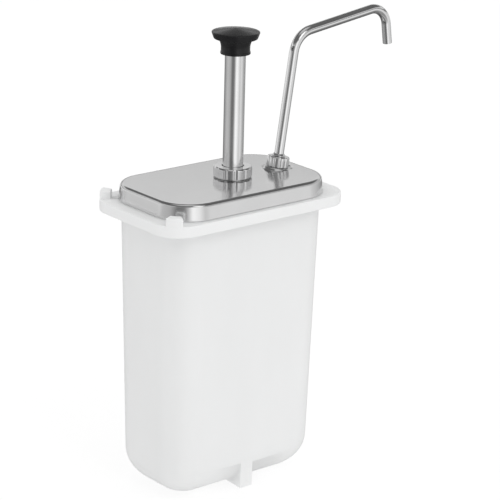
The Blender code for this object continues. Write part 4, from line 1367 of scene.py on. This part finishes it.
@dataclass
class Studio:
    """White studio: the camera, the floor, one soft light and the room the steel mirrors."""

    azimuth: float = math.radians(39.54)
    pitch: float = math.radians(18.06)
    roll: float = math.radians(1.48)
    lens: float = 162.9
    sensor: float = 36.0
    aim: Point = (0.0372, -0.0014, 0.2321)
    distance: float = 2.277
    floor_size: float = 16.0
    floor_drop: float = 0.0004
    floor_glow: float = 0.70
    floor_tone: float = 0.34
    backdrop_glow: float = 1.05
    even_glow: Point = (0.49, 0.58)       # left and right, for what isn't shiny
    sky_glow: float = 0.55
    side_glow: Point = (1.02, 0.80)       # left and right, above the mirrored screens
    screen_glow: float = 1.45
    foot_glow: float = 0.60
    ceiling_glow: float = 1.3
    screen_edge: Point = (-0.22, -0.10)
    screen_foot: Point = (-0.50, -0.32)
    front_height: float = 0.65            # how much higher the screens stand in front
    light_size: float = 1.2
    light_energy: float = 5.0
    light_reach: Point = (1.1, 1.3, 1.85)  # right, back and up
    light_aim: Point = (0.0, 0.0, 0.25)

    def directions(self) -> tuple[Vector, Vector, Vector]:
        """Level right, level back towards the camera, and its forward direction."""
        right = Vector((math.cos(self.azimuth), -math.sin(self.azimuth), 0.0))
        back = Vector((-math.sin(self.azimuth), -math.cos(self.azimuth), 0.0))
        forward = (-back * math.cos(self.pitch)
                   - Vector((0.0, 0.0, 1.0)) * math.sin(self.pitch))
        return right, back, forward

    def camera(self) -> None:
        """Place the camera."""
        right, _, forward = self.directions()
        up = right.cross(forward)
        side = right * math.cos(self.roll) + up * math.sin(self.roll)
        top = up * math.cos(self.roll) - right * math.sin(self.roll)
        data = bpy.data.cameras.new("camera")
        data.lens = self.lens
        data.sensor_width = self.sensor
        data.clip_start = 0.05
        data.clip_end = 50.0
        camera = bpy.data.objects.new("camera", data)
        bpy.context.scene.collection.objects.link(camera)
        turn = Matrix((side, top, -forward)).transposed().to_4x4()
        camera.matrix_world = Matrix.Translation(Vector(self.aim)
                                                 - forward * self.distance) @ turn
        bpy.context.scene.camera = camera

    def floor(self) -> None:
        """Pale floor that glows a little, so that it stays white."""
        shape = bmesh.new()
        half = self.floor_size / 2
        shape.faces.new([shape.verts.new((x * half, y * half, -self.floor_drop))
                         for x, y in ((-1, -1), (1, -1), (1, 1), (-1, 1))])
        floor = finish_mesh("floor", shape, recalculate=False)
        material = bpy.data.materials.new("pale_floor")
        material.use_nodes = True
        tree = NodeTree(material.node_tree)
        tree.tree.nodes.clear()
        matte = tree.node("ShaderNodeBsdfDiffuse", {"Color": (*(self.floor_tone,) * 3, 1.0)})
        glow = tree.node("ShaderNodeEmission", {"Strength": self.floor_glow})
        both = tree.node("ShaderNodeAddShader", {0: matte.outputs[0], 1: glow.outputs[0]})
        tree.node("ShaderNodeOutputMaterial", {"Surface": both.outputs[0]})
        floor.data.materials.append(material)
        floor.visible_glossy = False

    def room(self) -> None:
        """World: white to look at, an even glow to light with, and screens to mirror."""
        right, back, _ = self.directions()
        world = bpy.data.worlds.new("studio")
        bpy.context.scene.world = world
        world.use_nodes = True
        tree = NodeTree(world.node_tree)
        tree.tree.nodes.clear()
        calc = tree.math
        way = tree.node("ShaderNodeTexCoord").outputs["Generated"]
        across, toward = (tree.node("ShaderNodeVectorMath", {0: way, 1: axis},
                                    operation="DOT_PRODUCT").outputs["Value"]
                          for axis in (right, back))
        height = tree.node("ShaderNodeSeparateXYZ", {0: way}).outputs["Z"]
        turn = tree.span(calc("ARCTAN2", across, toward), (-math.pi, math.pi), (0.0, 1.0))
        screens = tree.node("ShaderNodeValToRGB", {"Fac": turn})
        self.ramp(screens, [(angle / 360 + 0.5, glow) for angle, glow in self.screens()])
        ceiling = tree.node("ShaderNodeValToRGB", {"Fac": height})
        self.ramp(ceiling, self.overhead())
        raised = calc("SUBTRACT", height,
                      calc("MULTIPLY", calc("MAXIMUM", toward, 0.0), self.front_height))
        above = tree.span(raised, self.screen_edge, (0.0, 1.0))
        below = tree.span(height, self.screen_foot, (self.foot_glow, self.screen_glow))
        side_glow = tree.span(across, (-1.0, 1.0), self.side_glow)
        mirrored = calc("ADD", calc("MULTIPLY", calc("SUBTRACT", 1.0, above),
                                    calc("MULTIPLY", screens.outputs["Color"], below)),
                        calc("MULTIPLY", calc("MULTIPLY", above, side_glow),
                             calc("MULTIPLY", ceiling.outputs["Color"], self.ceiling_glow)))
        even = calc("ADD", tree.span(across, (-1.0, 1.0), self.even_glow),
                    calc("MULTIPLY", calc("MAXIMUM", height, 0.0), self.sky_glow))
        path = tree.node("ShaderNodeLightPath").outputs
        seen = calc("ADD", calc("MULTIPLY", path["Is Glossy Ray"], mirrored),
                    calc("MULTIPLY", calc("SUBTRACT", 1.0, path["Is Glossy Ray"]), even))
        shown = calc("MAXIMUM", seen,
                     calc("MULTIPLY", path["Is Camera Ray"], self.backdrop_glow))
        glow = tree.node("ShaderNodeBackground", {"Color": (1.0, 1.0, 1.0, 1.0),
                                                  "Strength": shown})
        tree.node("ShaderNodeOutputWorld", {"Surface": glow.outputs[0]})

    @staticmethod
    def ramp(node: bpy.types.Node, stops: list[tuple[float, float]]) -> None:
        """Set a colour ramp's grey stops."""
        elements = node.color_ramp.elements
        elements.remove(elements[0])
        for index, (place, glow) in enumerate(stops):
            stop = elements[0] if index == 0 else elements.new(place)
            stop.position = place
            stop.color = (glow, glow, glow, 1.0)

    @staticmethod
    def overhead() -> list[tuple[float, float]]:
        """Brightness of the room above the screens, by the height of the direction."""
        return [(0.0, 0.78), (0.06, 0.78), (0.13, 0.16), (0.225, 0.18), (0.262, 0.68),
                (0.288, 0.82), (0.40, 0.76), (0.46, 0.30), (0.56, 0.12),
                (0.88, 0.12), (0.95, 0.50), (1.0, 0.60)]

    @staticmethod
    def screens() -> list[tuple[float, float]]:
        """Brightness of the screens round the room, by degrees right of the camera."""
        return [(-180.0, 0.20), (-150.0, 0.14), (-115.0, 0.30), (-84.0, 0.46), (-52.0, 0.40),
                (-27.0, 0.13), (-6.0, 0.18), (4.0, 0.45), (18.0, 0.92), (38.0, 0.80),
                (57.0, 0.54), (80.0, 0.68), (104.0, 0.40), (130.0, 0.26), (180.0, 0.20)]

    def light(self) -> None:
        """One broad soft light from the camera's upper right."""
        right, back, _ = self.directions()
        data = bpy.data.lights.new("soft_light", "AREA")
        data.shape = "DISK"
        data.size = self.light_size
        data.energy = self.light_energy
        light = bpy.data.objects.new("soft_light", data)
        bpy.context.scene.collection.objects.link(light)
        aside, forth, rise = self.light_reach
        light.location = right * aside + back * forth + Vector((0.0, 0.0, rise))
        light.rotation_mode = "QUATERNION"
        outward = light.location - Vector(self.light_aim)
        light.rotation_quaternion = outward.to_track_quat("Z", "Y")

    def build(self) -> None:
        """Set the studio up."""
        self.camera()
        self.floor()
        self.room()
        self.light()
        bpy.context.scene.view_settings.view_transform = "Standard"


def main() -> None:
    """Build every sub-assembly in order."""
    logging.basicConfig(level=logging.INFO, format="%(name)s: %(message)s")
    for part in (Jar(), Lid(), PumpBody(), Plunger(), ReturnSpring(), DischargeTube(),
                 Studio()):
        part.build()
        LOG.info("%s done", type(part).__name__)


if __name__ == "__main__":
    main()
